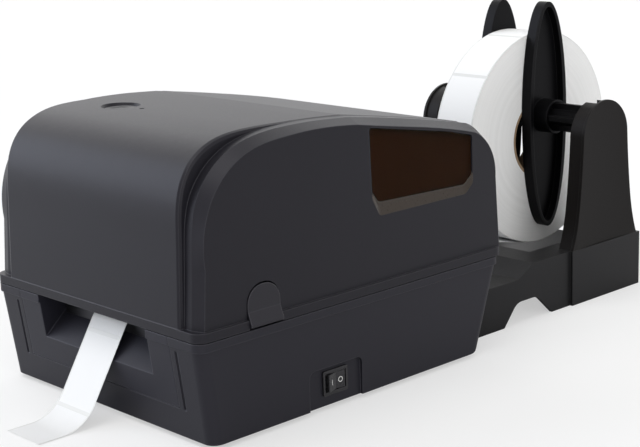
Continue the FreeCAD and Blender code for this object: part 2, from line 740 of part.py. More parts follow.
write("power_rocker", rocker.fuse(rocker_pins).removeSplitter())

# Hood shell: raised centre panel, ledge and bevelled shoulders lofted across the width, over a rim flange
hood_rise = hood_height - lid_low
behind_crease = rear - rear_shoulder - crease


def hood_form(foot, shoulder, roof, back_top, back):
    """One outline's corner points: the front, the shoulder curve, the roof behind the crease and the back."""
    return {"front": [(foot, hood_rise), shoulder[0]], "shoulder": shoulder[1:],
            "roof": [(crease + share * behind_crease, drop) for share, drop in roof]
            + [(rear - rear_shoulder, back_top)],
            "back": [(rear - back[0][0], back[0][1]), (rear - back[1][0], back[1][1]),
                     (rear - back[2], hood_rise)]}


panel_form = hood_form(0.2, [(2.5, 72.0), (3.8, 44.4), (7.2, 28.0), (16.4, 13.6), (33.6, 3.6), (58.0, 0.0),
                             (86.0, 0.1), (114.0, 0.9), (crease, 2.4)],
                       [(0.22, 6.4), (0.62, 14.1)], 22.7, [(8.2, 38.0), (3.2, 60.5), 0.6])
ledge_form = hood_form(3.4, [(6.3, 80.0), (8.2, 52.4), (12.2, 36.4), (24.6, 19.2), (40.6, 8.8), (58.0, 3.6),
                             (86.0, 1.2), (114.0, 1.5), (crease, 3.2)],
                       [(0.22, 6.9), (0.62, 14.6)], 23.2, [(8.6, 38.5), (3.6, 61.0), 0.9])
flank_form = hood_form(6.2, [(9.5, 77.4), (11.7, 48.4), (18.4, 33.6), (32.4, 18.7), (49.5, 10.0), (77.2, 5.8),
                             (96.0, 4.9), (116.0, 5.2), (crease, 7.4)],
                       [(0.22, 11.8), (0.62, 19.4)], 29.0, [(11.5, 42.4), (6.3, 63.4), 2.5])


def curve_through(points):
    curve = Part.BSplineCurve()
    curve.interpolate(points)
    return curve.toShape()


def hood_wire(x, form):
    """Outline of the hood in the plane at x: front, shoulder curve, roof, back curve and back."""
    foot, brow = [V(x, y, hood_height - drop) for y, drop in form["front"]]
    shoulder = [V(x, y, hood_height - drop) for y, drop in form["shoulder"]]
    roof = [V(x, y, hood_height - drop) for y, drop in form["roof"]]
    back_mid, back_low, heel_point = [V(x, y, hood_height - drop) for y, drop in form["back"]]
    return Part.Wire([Part.LineSegment(foot, brow).toShape(), curve_through([brow] + shoulder),
                      curve_through([shoulder[-1]] + roof), Part.Arc(roof[-1], back_mid, back_low).toShape(),
                      Part.LineSegment(back_low, heel_point).toShape(),
                      Part.LineSegment(heel_point, foot).toShape()])


def hood_prism(half, form):
    return Part.Face(hood_wire(-half, form)).extrude(V(2 * half, 0, 0))


def hood_room(half, form, wall):
    """The hood's inside: the outline moved in by the wall from the front, the back and the roof."""
    room = hood_prism(half, form)
    forward = room.copy()
    forward.translate(V(0, -wall, -wall))
    backward = room.copy()
    backward.translate(V(0, wall, -wall))
    return forward.common(backward)


def drawn_in(form, depth):
    """The same outline drawn in by a depth, square to its run at each point."""
    chain = form["front"] + form["shoulder"] + form["roof"] + form["back"]
    drawn = []
    for i, (y, drop) in enumerate(chain):
        before = chain[max(i - 1, 0)]
        after = chain[min(i + 1, len(chain) - 1)]
        run = math.hypot(after[0] - before[0], after[1] - before[1])
        drawn.append((y + depth * (before[1] - after[1]) / run, drop + depth * (after[0] - before[0]) / run))
    drawn[0] = (drawn[0][0], hood_rise)
    drawn[-1] = (drawn[-1][0], hood_rise)
    roof_end = 2 + len(form["shoulder"]) + len(form["roof"])
    return {"front": drawn[:2], "shoulder": drawn[2:2 + len(form["shoulder"])],
            "roof": drawn[2 + len(form["shoulder"]):roof_end], "back": drawn[roof_end:]}


def soft_edge(half, form):
    """Rounded long edge of the raised panel, in two facets."""
    steps = [(half - hood_edge, 0.0), (half - 0.3 * hood_edge, 0.3 * hood_edge), (half, hood_edge)]
    wires = [hood_wire(x, drawn_in(form, depth)) for x, depth in steps]
    return Part.makeLoft(wires, True, True)


panel_edge = soft_edge(centre_half, panel_form)
centre_panel = fuse([hood_prism(centre_half - hood_edge, panel_form), panel_edge, mirrored(panel_edge)])
ledge = hood_prism(ledge_half, ledge_form)
bevel = Part.makeLoft([hood_wire(ledge_half, ledge_form), hood_wire(bevel_half, flank_form)], True, True)
flange = prism_z(plan(half_w, 0.0, rear), [base_corner] * 4, lid_low, lid_low + hood_flange)
hood = fuse([centre_panel, ledge, bevel, mirrored(bevel), flange])
rooms = [hood_room(centre_half - hood_wall, panel_form, hood_wall),
         hood_room(ledge_half - hood_wall, ledge_form, hood_wall),
         hood_room(bevel_half - hood_side_wall, flank_form, hood_wall)]
hood = cut(hood, rooms)
flange_room = prism_z(plan(bevel_half - hood_side_wall, 9.5, rear - 10.5), [base_corner] * 4, lid_low - 1,
                      lid_low + hood_flange)
hood = hood.cut(flange_room)
behind_hinge = box(-half_w - 1, half_w + 1, hinge_y, rear + 5, lid_low - 5, hinge_z)
hood = hood.cut(behind_hinge.cut(rod_x(-half_w - 2, half_w + 2, hinge_y, hinge_z, hinge_rise - parting_gap / 2)))
ear_gap = ear_width / 2 + knuckle_gap
knuckles = []
notches = []
for side in (-1, 1):
    for x0, x1 in ((ear_gap, ear_gap + knuckle_width), (-ear_gap - knuckle_width, -ear_gap)):
        barrel = rod_x(side * hinge_offset + x0, side * hinge_offset + x1, hinge_y, hinge_z, barrel_radius)
        knuckles.append(barrel)
    notches.append(box(side * hinge_offset - ear_gap, side * hinge_offset + ear_gap, hinge_y - 12, rear + 5,
                       lid_low - 5, hinge_z + barrel_radius + 2))
hood = fuse([hood] + knuckles)
hood = cut(hood, notches)
hood = cut(hood, [rod_x(side * hinge_offset - 30, side * hinge_offset + 30, hinge_y, hinge_z,
                        hinge_pin_radius + run_gap) for side in (-1, 1)])

# Openings in the hood's sides: the window with its sloped sill, and the arch of the release tab
window_rear = window_front + window_length
window_high = hood_height - flank_form["roof"][-1][1] - 1.4
window_outline = [(window_front, window_high + 19.4), (window_front + 1.5, window_low + 12.0),
                  (window_front + 8.0, window_low), (window_rear - 8.0, window_low),
                  (window_rear, window_low + 7.0), (window_rear, window_high),
                  (window_rear - 24.0, window_high + 6.0)]
window_radii = [2, 4, 4, 6, 4, 3, 10]


def window_wire(x, grow, sill):
    centre_y = (window_front + window_rear) / 2
    points = []
    for y, z in window_outline:
        low_side = z < window_low + 14
        points.append(V(x, y + (grow if y > centre_y else -grow), z - (sill if low_side else -grow)))
    return rounded_wire(points, window_radii)


pane_face = bevel_half - window_recess
pane_back = pane_face - window_thick
window_cuts = []
for side in (-1, 1):
    seat_depth = V(side * (window_recess + window_thick + 2), 0, 0)
    seat = Part.Face(window_wire(side * pane_back, 0.0, 0.0)).extrude(seat_depth)
    sill = Part.makeLoft([window_wire(side * pane_face, 0.0, 0.0),
                          window_wire(side * (bevel_half + 0.2), 0.4, window_sill)], True, True)
    through = Part.Face(window_wire(side * (bevel_half - hood_side_wall - 1), -window_ledge, -window_ledge)).extrude(
        V(side * (hood_side_wall + 2), 0, 0))
    window_cuts += [seat, sill, through]
    pane_outline = window_wire(side * pane_back, -seam_gap / 2, -seam_gap / 2)
    pane = Part.Face(pane_outline).extrude(V(side * window_thick, 0, 0))
    write("window_left" if side < 0 else "window_right", pane)
hood = cut(hood, window_cuts)

tab_rear = tab_front + tab_width
tab_top = parting_height + tab_height
tab_radius = tab_width / 2 - 1.0


def arch(shrink, head, low):
    outline = [(tab_front + shrink, low), (tab_rear - shrink, low), (tab_rear - shrink, tab_top - head),
               (tab_front + shrink, tab_top - head)]
    return outline, [0, 0, tab_radius - shrink, tab_radius - shrink]


tab_cuts = []
for side in (-1, 1):
    outline, radii = arch(0.0, 0.0, lid_low - 1)
    x0 = bevel_half - hood_side_wall - 8
    cut_ends = sorted([side * x0, side * (half_w + 1)])
    tab_cuts.append(prism_x(outline, radii, cut_ends[0], cut_ends[1]))
hood = cut(hood, tab_cuts)
pivot_x = bevel_half - hood_side_wall - 2.0
pivot_z = tab_top - tab_pivot_drop
lugs = []
lug_holes = []
for side in (-1, 1):
    lug_in = min(side * (pivot_x - 3.0), side * (bevel_half - hood_side_wall + 0.5))
    lug_out = max(side * (pivot_x - 3.0), side * (bevel_half - hood_side_wall + 0.5))
    lugs.append(box(lug_in, lug_out, tab_front - 3.5, tab_front - 0.4, pivot_z - 3.5, pivot_z + 3.5))
    lugs.append(box(lug_in, lug_out, tab_rear + 0.4, tab_rear + 3.5, pivot_z - 3.5, pivot_z + 3.5))
    lug_holes.append(rod_y(side * pivot_x, tab_front - 4.0, tab_rear + 4.0, pivot_z, tab_pivot_radius + run_gap))
hood = fuse([hood] + lugs)
hood = cut(hood, lug_holes)

# Feed button dish in the roof, with the button's guide bore
roof_z = hood_height - 0.4
dish_floor = roof_z - 2.2
dish = Part.makeCone(button_dish - 1.5, button_dish + 1.5, 5.0, V(button_x, button_y, dish_floor), V(0, 0, 1))
guide_tube = rod_z(button_x, button_y, dish_floor - 9.0, dish_floor + 0.5, button_radius + 2.5)
button_bore = rod_z(button_x, button_y, dish_floor - 10.0, roof_z + 5, button_radius + free_gap)
lens_hole = rod_z(button_x + lens_offset, button_y, dish_floor - 10.0, roof_z + 5, lens_radius)
hood = fuse([hood, guide_tube])
hood = cut(hood, [dish, button_bore, lens_hole])
write("lid_shell", hood)

button_top = dish_floor + 1.0
button_disc = rod_z(button_x, button_y, button_top - button_height, button_top, button_radius)
hollow_floor = V(button_x, button_y, button_top - 0.8)
button_hollow = Part.makeCone(button_radius - 5.0, button_radius - 1.0, 1.2, hollow_floor, V(0, 0, 1))
button_low = button_top - button_height
button_skirt = rod_z(button_x, button_y, button_low - button_travel - 2.5, button_low + 0.1, 3.0)
write("feed_button", fuse([button_disc.cut(button_hollow), button_skirt]))
lens_top = hood_height - 0.3
write("status_lens", rod_z(button_x + lens_offset, button_y, lens_top - 6.0, lens_top, lens_radius))

pin_length = 2 * (ear_gap + knuckle_width) - 1.0
write("hinge_pins", Part.makeCompound([rod_x(side * hinge_offset - pin_length / 2,
                                             side * hinge_offset + pin_length / 2,
                                             hinge_y, hinge_z, hinge_pin_radius) for side in (-1, 1)]))

# Release tabs: an arched lever in each side of the hood, with a finger lip and a leg to the catch
for side, name in ((-1, "release_tab_left"), (1, "release_tab_right")):
    outline, radii = arch(seam_gap, tab_head_gap, lid_low + 1.0)
    face_x = bevel_half + 0.6
    plate = prism_x(outline, radii, face_x - tab_thick, face_x)
    lip_profile = [V(face_x - tab_thick, tab_front + seam_gap, lid_low + 1.0),
                   V(face_x + tab_lip, tab_front + seam_gap, lid_low + 1.0),
                   V(face_x + tab_lip, tab_front + seam_gap, lid_low + 3.0),
                   V(face_x, tab_front + seam_gap, lid_low + 11.0),
                   V(face_x - tab_thick, tab_front + seam_gap, lid_low + 11.0)]
    lip = Part.Face(rounded_wire(lip_profile, [0, 0.8, 0.8, 1.0, 0])).extrude(V(0, tab_width - 2 * seam_gap, 0))
    bridge = box(catch_x + 1.0, face_x - tab_thick + 0.5, tab_front + 16.5, tab_front + 26.0,
                 lid_low + 6.0, lid_low + 9.0)
    leg = box(catch_x + free_gap + 0.2, catch_x + 2.6, tab_front + 16.5, tab_front + 26.0,
              deck_top + 2.0, lid_low + 9.0)
    web = box(pivot_x - 1.4, face_x - tab_thick + 0.5, tab_front + 6, tab_rear - 6, pivot_z - 1.4, pivot_z + 1.4)
    trunnion = rod_y(pivot_x, tab_front - 3.2, tab_rear + 3.2, pivot_z, tab_pivot_radius)
    tab = fuse([plate, lip, bridge, leg, web, trunnion])
    write(name, tab if side > 0 else mirrored(tab))

# Ribbon carriage in the hood: two side plates and cross bars, screwed to the hood's sides
frame_low_z = parting_height + frame_low
supply_z = parting_height + supply_rise
takeup_z = parting_height + takeup_rise
side_outline = [(26.0, frame_low_z), (150.0, frame_low_z), (150.0, supply_z - 10.0),
                (supply_y + 8.0, supply_z + 14.0),
                (takeup_y, takeup_z + 18.0), (takeup_y - 16.0, takeup_z + 4.0), (26.0, frame_low_z + 22.0)]
side_radii = [3, 6, 20, 16, 14, 12, 8]
frame_pieces = []
for side in (-1, 1):
    x0 = min(side * frame_half, side * (frame_half + frame_thick))
    frame_pieces.append(prism_x(side_outline, side_radii, x0, x0 + frame_thick))
    wing_in = min(side * (frame_half + 1), side * (bevel_half - hood_side_wall))
    wing_out = max(side * (frame_half + 1), side * (bevel_half - hood_side_wall))
    frame_pieces.append(box(wing_in, wing_out, 110.0, 150.0, frame_low_z, frame_low_z + frame_thick))
    pad = min(side * (bevel_half - hood_side_wall - frame_thick), side * (bevel_half - hood_side_wall))
    frame_pieces.append(box(pad, pad + frame_thick, 110.0, 150.0, frame_low_z, frame_low_z + 14.0))
bar_y0 = platen_y - 6.0
frame_pieces.append(box(-frame_half - 1, frame_half + 1, bar_y0, bar_y0 + 24.0,
                        frame_low_z + 12.0, frame_low_z + 15.0))
frame_pieces.append(rod_x(-frame_half - 1, frame_half + 1, 142.0, frame_low_z + 8.0, 4.0))
head_low = web_z + label_thick / 2 + free_gap
head_front = platen_y - head_length / 2 + 2.0
bracket_low = head_low + head_thick
spring_low = bracket_low + bracket_thick
spring_high = frame_low_z + 12.0
for x in (-spring_x, spring_x):
    frame_pieces.append(rod_z(x, head_front + 8.0, spring_low, spring_high + 1, spring_radius - 1.5))
spools = {"supply": (supply_y, supply_z), "takeup": (takeup_y, takeup_z)}
for y, z in spools.values():
    for side in (-1, 1):
        x0 = min(side * (frame_half + 1), side * (ribbon_half - 8.0))
        x1 = max(side * (frame_half + 1), side * (ribbon_half - 8.0))
        frame_pieces.append(rod_x(x0, x1, y, z, ribbon_bore))
write("ribbon_frame", fuse(frame_pieces))


def spool(y, z):
    """Ribbon core with end flanges, on the frame's hubs."""
    core = rod_x(-ribbon_half, ribbon_half, y, z, ribbon_core)
    flanges = [rod_x(x, x + 2.0, y, z, ribbon_core + 4.0) for x in (-ribbon_half, ribbon_half - 2.0)]
    body = fuse([core] + flanges)
    return body.cut(rod_x(-ribbon_half - 1, ribbon_half + 1, y, z, ribbon_bore + run_gap))


write("supply_core", spool(supply_y, supply_z))
write("takeup_core", spool(takeup_y, takeup_z))
wound_half = ribbon_half - 3.0
write("ribbon_roll", rod_x(-wound_half, wound_half, supply_y, supply_z, supply_radius).cut(
    rod_x(-wound_half, wound_half, supply_y, supply_z, ribbon_core)))

# Print head on its sprung bracket, over the platen
head = prism_x([(head_front, head_low + 1.2), (head_front + 4.0, head_low), (head_front + head_length, head_low),
                (head_front + head_length, head_low + head_thick), (head_front, head_low + head_thick)], [0] * 5,
               -head_half, head_half)
write("print_head", head)
bracket_plate = box(-head_half - 4, head_half + 4, head_front - 1.0, head_front + head_length + 4.0, bracket_low,
                    bracket_low + bracket_thick)
fin_thick = 2.0
fin_rise = 8.0
fin_starts = [head_front + 1.0, head_front + head_length - 4.0, head_front + head_length]
fins = [box(-head_half - 4, head_half + 4, y, y + fin_thick, bracket_low, bracket_low + fin_rise)
        for y in fin_starts]
write("head_bracket", fuse([bracket_plate] + fins))
springs = []
for x in (-spring_x, spring_x):
    coil = rod_z(x, head_front + 8.0, spring_low, spring_high, spring_radius)
    springs.append(coil.cut(rod_z(x, head_front + 8.0, spring_low, spring_high, spring_radius - 1.0)))
write("head_springs", Part.makeCompound(springs))

# Roll stand: a hollow deck with a round well under the roll, on two foot blocks
foot_front = spindle_y - foot_front_reach
side_half = stand_half - foot_step
stand_outline = [(stand_front, 0), (stand_front, deck_low), (rear + slope_start, deck_low),
                 (rear + slope_end, foot_top), (foot_front + 2, foot_top), (foot_front + 2, 0)]
deck_solid = prism_x(stand_outline, [0] * 6, -side_half, side_half)
foot_solid = box(-stand_half, stand_half, foot_front, stand_rear, 0, foot_top)
inside_outline = [(stand_front + stand_wall, -1), (stand_front + stand_wall, deck_low - stand_wall),
                  (rear + slope_start + 1, deck_low - stand_wall), (rear + slope_end + 1, foot_top - stand_wall),
                  (foot_front + 4, foot_top - stand_wall), (foot_front + 4, -1)]
deck_inside = prism_x(inside_outline, [0] * 6, -side_half + stand_wall, side_half - stand_wall)
foot_inside = box(-stand_half + stand_wall, stand_half - stand_wall,
                  foot_front + stand_wall, stand_rear - stand_wall,
                  -1, foot_top - stand_wall)
well = rod_x(-roll_well_half, roll_well_half, spindle_y, roll_z, roll_radius + roll_well_gap)
well_skin = rod_x(-roll_well_half - stand_wall, roll_well_half + stand_wall, spindle_y, roll_z,
                  roll_radius + roll_well_gap + stand_wall)
scallop_y = rear + scallop_front
scallop = prism_x([(scallop_y, -1), (scallop_y + 16, scallop_height),
                   (scallop_y + scallop_length - 20, scallop_height),
                   (scallop_y + scallop_length, -1)], [0, 12, 12, 0], -stand_half - 1, stand_half + 1)
tongue = box(-side_half + 10, side_half - 10, stand_front - tongue_reach, stand_front + stand_wall,
             0, tongue_thick)
stand = fuse([deck_solid, foot_solid])
stand = cut(stand, [well, fuse([deck_inside, foot_inside]).cut(well_skin), scallop])
stand = fuse([stand, tongue])
write("stand_base", stand)

# Uprights: bell-shaped plates with a thin outer cheek and an open slot for the spindle
bell_high = spindle_height + upright_top
bell_rise = bell_high - upright_crown - foot_top


def bell(x, x_far, shrink):
    """Bell outline from the foot over the flare to the round crown, extruded between two planes."""
    sides = []
    for side in (-1, 1):
        reach = [upright_crown + share * (foot_front_reach - 0.5 - upright_crown) for share in upright_flare]
        rise = [bell_rise * (1 - i / (len(upright_flare) - 1)) for i in range(len(upright_flare))]
        sides.append([V(x, spindle_y + side * (out - shrink), foot_top + up) for out, up in zip(reach, rise)])
    left, right = sides
    top = V(x, spindle_y, bell_high - shrink)
    edges = [curve_through(left[::-1]), Part.Arc(left[0], top, right[0]).toShape(), curve_through(right),
             Part.LineSegment(right[-1], left[-1]).toShape()]
    return Part.Face(Part.Wire(edges)).extrude(V(x_far - x, 0, 0))


slot_radius = journal_radius + free_gap
for side, name in ((-1, "upright_left"), (1, "upright_right")):
    cheek_in = stand_half - upright_cheek
    inner = stand_half - upright_thick
    plate = bell(inner, cheek_in, 1.2).fuse(bell(cheek_in, stand_half, 0.0))
    slot = rod_x(inner - 1, inner + journal_length + 1.5, spindle_y, spindle_height, slot_radius)
    slot = slot.fuse(box(inner - 1, inner + journal_length + 1.5,
                         spindle_y - slot_radius, spindle_y + slot_radius,
                         spindle_height, bell_high + 5))
    dish_x = stand_half + upright_dish - upright_dish_depth
    dish_face = rod_z(dish_x, spindle_y, foot_top - 1, bell_high + 1, upright_dish)
    plate = cut(plate, [slot, dish_face]).removeSplitter()
    write(name, plate if side > 0 else mirrored(plate))

# Spindle: a ribbed bar with round journals that drop into the uprights' slots
inner = stand_half - upright_thick
bar_half = inner - 1.0
ribs = [box(-bar_half, bar_half, spindle_y - spindle_radius * 2, spindle_y + spindle_radius * 2,
            spindle_height - spindle_rib / 2, spindle_height + spindle_rib / 2),
        box(-bar_half, bar_half, spindle_y - spindle_rib / 2, spindle_y + spindle_rib / 2,
            spindle_height - spindle_radius * 2, spindle_height + spindle_radius * 2),
        rod_x(-bar_half, bar_half, spindle_y, spindle_height, spindle_radius * 0.55)]
round_bar = rod_x(-bar_half, bar_half, spindle_y, spindle_height, spindle_radius)
discs = [rod_x(x, x + 2.0, spindle_y, spindle_height, spindle_radius) for x in (-bar_half, bar_half - 2.0)]
journals = rod_x(-inner - journal_length, inner + journal_length, spindle_y, spindle_height, journal_radius)
write("roll_spindle", fuse([fuse(ribs).common(round_bar), journals] + discs))

# Roll guides: long oval plates with a rim, on collars that slide along the spindle
plate_x = roll_half + roll_side_gap


def oval(x, shrink, depth):
    ellipse = Part.Ellipse(V(x, spindle_y, spindle_height + guide_plate_height / 2 - shrink),
                           V(x, spindle_y + guide_plate_width / 2 - shrink, spindle_height),
                           V(x, spindle_y, spindle_height))
    return Part.Face(Part.Wire(ellipse.toShape())).extrude(V(depth, 0, 0))


for side, name in ((-1, "roll_guide_left"), (1, "roll_guide_right")):
    plate = oval(plate_x, 0.0, guide_plate_thick)
    dish_cut = oval(plate_x + guide_plate_floor, guide_plate_rim, guide_plate_thick)
    collar_end = plate_x + guide_plate_thick + collar_length
    collar = rod_x(plate_x, collar_end, spindle_y, spindle_height, collar_radius)
    bore = rod_x(plate_x - 1, plate_x + guide_plate_thick + collar_length + 1, spindle_y, spindle_height,
                 spindle_radius + free_gap)
    guide = plate.cut(dish_cut).fuse(collar).cut(bore).removeSplitter()
    write(name, guide if side > 0 else mirrored(guide))

# Label roll on its core, hanging on the spindle by the core's bore
write("label_roll", rod_x(-roll_half, roll_half, spindle_y, roll_z, roll_radius).cut(
    rod_x(-roll_half, roll_half, spindle_y, roll_z, core_radius)))
write("roll_core", rod_x(-roll_half, roll_half, spindle_y, roll_z, core_radius).cut(
    rod_x(-roll_half, roll_half, spindle_y, roll_z, core_bore)))


# Label web: from under the roll through the rear slot, over the platen and down to the table
def strip(points, radii, width, thick):
    """A band of even thickness along a path of straight runs and tangent arcs."""
    above = []
    below = []
    for i, point in enumerate(points):
        ahead = points[min(i + 1, len(points) - 1)] - points[max(i, 0) if i + 1 < len(points) else i - 1]
        behind = points[i] - points[i - 1] if i > 0 else ahead
        if i + 1 == len(points):
            ahead = behind
        ahead.normalize()
        behind.normalize()
        normal = V(0, -ahead.z - behind.z, ahead.y + behind.y).normalize()
        lift = thick / 2 / math.cos(ahead.getAngle(behind) / 2)
        above.append((point + normal * lift, radii[i], ahead, behind))
        below.append((point - normal * lift, radii[i], ahead, behind))
    outline = []
    corner_radii = []
    for chain, sign in ((above, 1), (list(reversed(below)), -1)):
        for point, radius, ahead, behind in chain:
            outline.append(point)
            turn = behind.y * ahead.z - behind.z * ahead.y
            grow = -thick / 2 if turn * sign > 0 else thick / 2
            corner_radii.append(0 if radius == 0 else radius + grow)
    wire = rounded_wire(outline, corner_radii)
    return Part.Face(wire).extrude(V(width, 0, 0))


web_roll_radius = roll_radius + free_gap + label_thick / 2
slot_point = (base_rear - 1.0, web_z)
to_roll = (spindle_y - slot_point[0], roll_z - slot_point[1])
to_roll_length = math.hypot(to_roll[0], to_roll[1])
web_angle = math.atan2(to_roll[1], to_roll[0]) - math.asin(web_roll_radius / to_roll_length)
web_run = math.sqrt(to_roll_length ** 2 - web_roll_radius ** 2)
leave = (slot_point[0] + web_run * math.cos(web_angle), slot_point[1] + web_run * math.sin(web_angle))
route = [leave, slot_point, (web_bend_front, web_z), (web_land, label_thick / 2), (web_end, label_thick / 2)]
route_points = [V(-label_width / 2, y, z) for y, z in route]
write("label_web", strip(route_points, [0, 60.0, web_bend_radius, web_land_radius, 0], label_width, label_thick))
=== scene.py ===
import math

import bpy
from mathutils import Matrix, Vector


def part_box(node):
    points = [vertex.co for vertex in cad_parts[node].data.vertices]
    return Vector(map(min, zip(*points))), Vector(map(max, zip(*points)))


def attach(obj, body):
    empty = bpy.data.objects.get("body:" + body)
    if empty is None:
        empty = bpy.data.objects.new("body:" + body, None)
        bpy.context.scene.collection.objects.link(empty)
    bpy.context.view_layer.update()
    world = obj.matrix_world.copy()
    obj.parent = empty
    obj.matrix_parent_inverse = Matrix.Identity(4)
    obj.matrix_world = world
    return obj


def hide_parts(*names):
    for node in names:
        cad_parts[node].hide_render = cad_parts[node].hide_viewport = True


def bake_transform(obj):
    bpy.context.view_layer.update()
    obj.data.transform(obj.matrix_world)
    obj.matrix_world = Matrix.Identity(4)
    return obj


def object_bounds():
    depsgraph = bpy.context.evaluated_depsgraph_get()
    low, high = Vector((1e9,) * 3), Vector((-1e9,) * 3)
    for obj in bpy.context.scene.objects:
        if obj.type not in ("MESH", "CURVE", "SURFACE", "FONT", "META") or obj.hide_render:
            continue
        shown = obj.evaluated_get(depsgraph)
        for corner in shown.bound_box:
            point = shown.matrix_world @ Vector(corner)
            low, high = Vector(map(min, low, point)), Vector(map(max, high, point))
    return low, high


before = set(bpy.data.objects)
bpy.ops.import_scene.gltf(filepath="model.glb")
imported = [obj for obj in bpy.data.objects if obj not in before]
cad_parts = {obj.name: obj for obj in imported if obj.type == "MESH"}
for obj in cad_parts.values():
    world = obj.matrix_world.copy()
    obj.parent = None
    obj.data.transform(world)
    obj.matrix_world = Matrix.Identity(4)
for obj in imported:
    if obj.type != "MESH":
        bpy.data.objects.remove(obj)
cad_low, cad_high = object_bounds()

# Lower housing: the drafted tub that carries everything, moulded in charcoal ABS.
# Its mould is spark-eroded to a fine even grain; the board and the drive are screwed to bosses inside.


def feed(tree, node, feeds):
    """Link or set each named input of a node."""
    for key, value in feeds.items():
        if isinstance(value, bpy.types.NodeSocket):
            tree.links.new(value, node.inputs[key])
        else:
            node.inputs[key].default_value = value


def add(tree, kind, settings=None, feeds=None):
    """One shader node with its settings, and what feeds or sets each of its inputs."""
    made = tree.nodes.new("ShaderNode" + kind)
    for key, value in (settings or {}).items():
        setattr(made, key, value)
    feed(tree, made, feeds or {})
    return made


def math_node(tree, operation, a, b, c=0.0):
    """One sum on up to three values."""
    return add(tree, "Math", {"operation": operation}, {0: a, 1: b, 2: c}).outputs[0]


def vector_node(tree, operation, feeds):
    """One sum on vectors; its outputs are the vector and the plain value."""
    return add(tree, "VectorMath", {"operation": operation}, feeds).outputs


def noise(tree, place, scale, detail):
    return add(tree, "TexNoise", {}, {"Vector": place, "Scale": scale, "Detail": detail}).outputs[0]


def swung(tree, value, swing, centre):
    """A centre value that swings up and down with a noise value."""
    return math_node(tree, "MULTIPLY_ADD", math_node(tree, "SUBTRACT", value, 0.5), swing, centre)


def remap(tree, value, start, stop, low=0.0, high=1.0):
    """A value carried from one range to another, held at both ends."""
    return add(tree, "MapRange", {}, {0: value, 1: start, 2: stop, 3: low, 4: high}).outputs[0]


def mix_colours(tree, share, first, second):
    return add(tree, "Mix", {"data_type": "RGBA"}, {0: share, 6: first, 7: second}).outputs[2]


def recipe(name, takes, gives):
    """A shader group with named sockets, its inside still empty."""
    group = bpy.data.node_groups.new(name, "ShaderNodeTree")
    for label, kind, value in takes:
        socket = group.interface.new_socket(label, in_out="INPUT", socket_type="NodeSocket" + kind)
        socket.default_value = value
    for label, kind in gives:
        group.interface.new_socket(label, in_out="OUTPUT", socket_type="NodeSocket" + kind)
    return group, group.nodes.new("NodeGroupInput").outputs, group.nodes.new("NodeGroupOutput")


moulded_grain, taken, given = recipe(
    "moulded_grain",
    [("Colour", "Color", (0.03, 0.03, 0.03, 1)), ("Gloss", "Float", 0.5), ("Grain", "Float", 1500.0),
     ("Mottle", "Float", 0.06), ("Dust", "Float", 0.0)],
    [("Colour", "Color"), ("Roughness", "Float"), ("Height", "Float")])
drift_scale = 16.0
speck_scale = 420.0
dust_colour = (0.32, 0.31, 0.3, 1)
dust_roughness = 0.3
grain_roughness = 0.16
place = add(moulded_grain, "TexCoord").outputs["Object"]
fine = noise(moulded_grain, place, taken["Grain"], 2.0)
drift = noise(moulded_grain, place, drift_scale, 4.0)
swing = math_node(moulded_grain, "MULTIPLY", taken["Mottle"], 2.0)
tone = swung(moulded_grain, fine, swing, swung(moulded_grain, drift, swing, 1.0))
shade = vector_node(moulded_grain, "SCALE", {0: taken["Colour"], "Scale": tone})[0]
normal_out = add(moulded_grain, "NewGeometry").outputs["Normal"]
facing_up = add(moulded_grain, "SeparateXYZ", {}, {0: normal_out}).outputs[2]
settled = remap(moulded_grain, facing_up, 0.55, 1.0)
specks = remap(moulded_grain, noise(moulded_grain, place, speck_scale, 3.0), 0.5, 0.75, 0.15, 1.0)
dust_layer = math_node(moulded_grain, "MULTIPLY", math_node(moulded_grain, "MULTIPLY", settled, specks), taken["Dust"])
rough = swung(moulded_grain, fine, grain_roughness, taken["Gloss"])
feed(moulded_grain, given, {
    "Colour": mix_colours(moulded_grain, dust_layer, shade, dust_colour),
    "Roughness": math_node(moulded_grain, "MULTIPLY_ADD", dust_layer, dust_roughness, rough),
    "Height": fine})

# Edge mask: it lightens the plastics' colour along their edges, partly as real rubbing wear and partly as a painted
# highlight where rounded edges catch the light.
worn_and_highlit_edges, taken, given = recipe(
    "worn_and_highlit_edges", [("Radius", "Float", 0.0006)], [("Normal", "Vector"), ("Edge", "Float")])
rounded = add(worn_and_highlit_edges, "Bevel", {"samples": 6}, {"Radius": taken["Radius"]}).outputs[0]
flat = add(worn_and_highlit_edges, "NewGeometry").outputs["Normal"]
turn = vector_node(worn_and_highlit_edges, "DOT_PRODUCT", {0: rounded, 1: flat})["Value"]
feed(worn_and_highlit_edges, given, {"Normal": rounded, "Edge": remap(worn_and_highlit_edges, turn, 0.995, 0.85)})

edge_wear_highlight_gain = 2.6
edge_wear_highlight_lift = 0.034
cool_shine = (0.96, 0.94, 1.0, 1)


def new_material(name):
    """A material with its node tree and its one shader."""
    material = bpy.data.materials.new(name)
    material.use_nodes = True
    return material, material.node_tree, material.node_tree.nodes["Principled BSDF"]


def bump_node(tree, strength, depth, height, normal=None):
    """A bump from a height, over a normal where one is given."""
    feeds = {"Strength": strength, "Distance": depth, "Height": height}
    if normal:
        feeds["Normal"] = normal
    return add(tree, "Bump", {}, feeds).outputs[0]


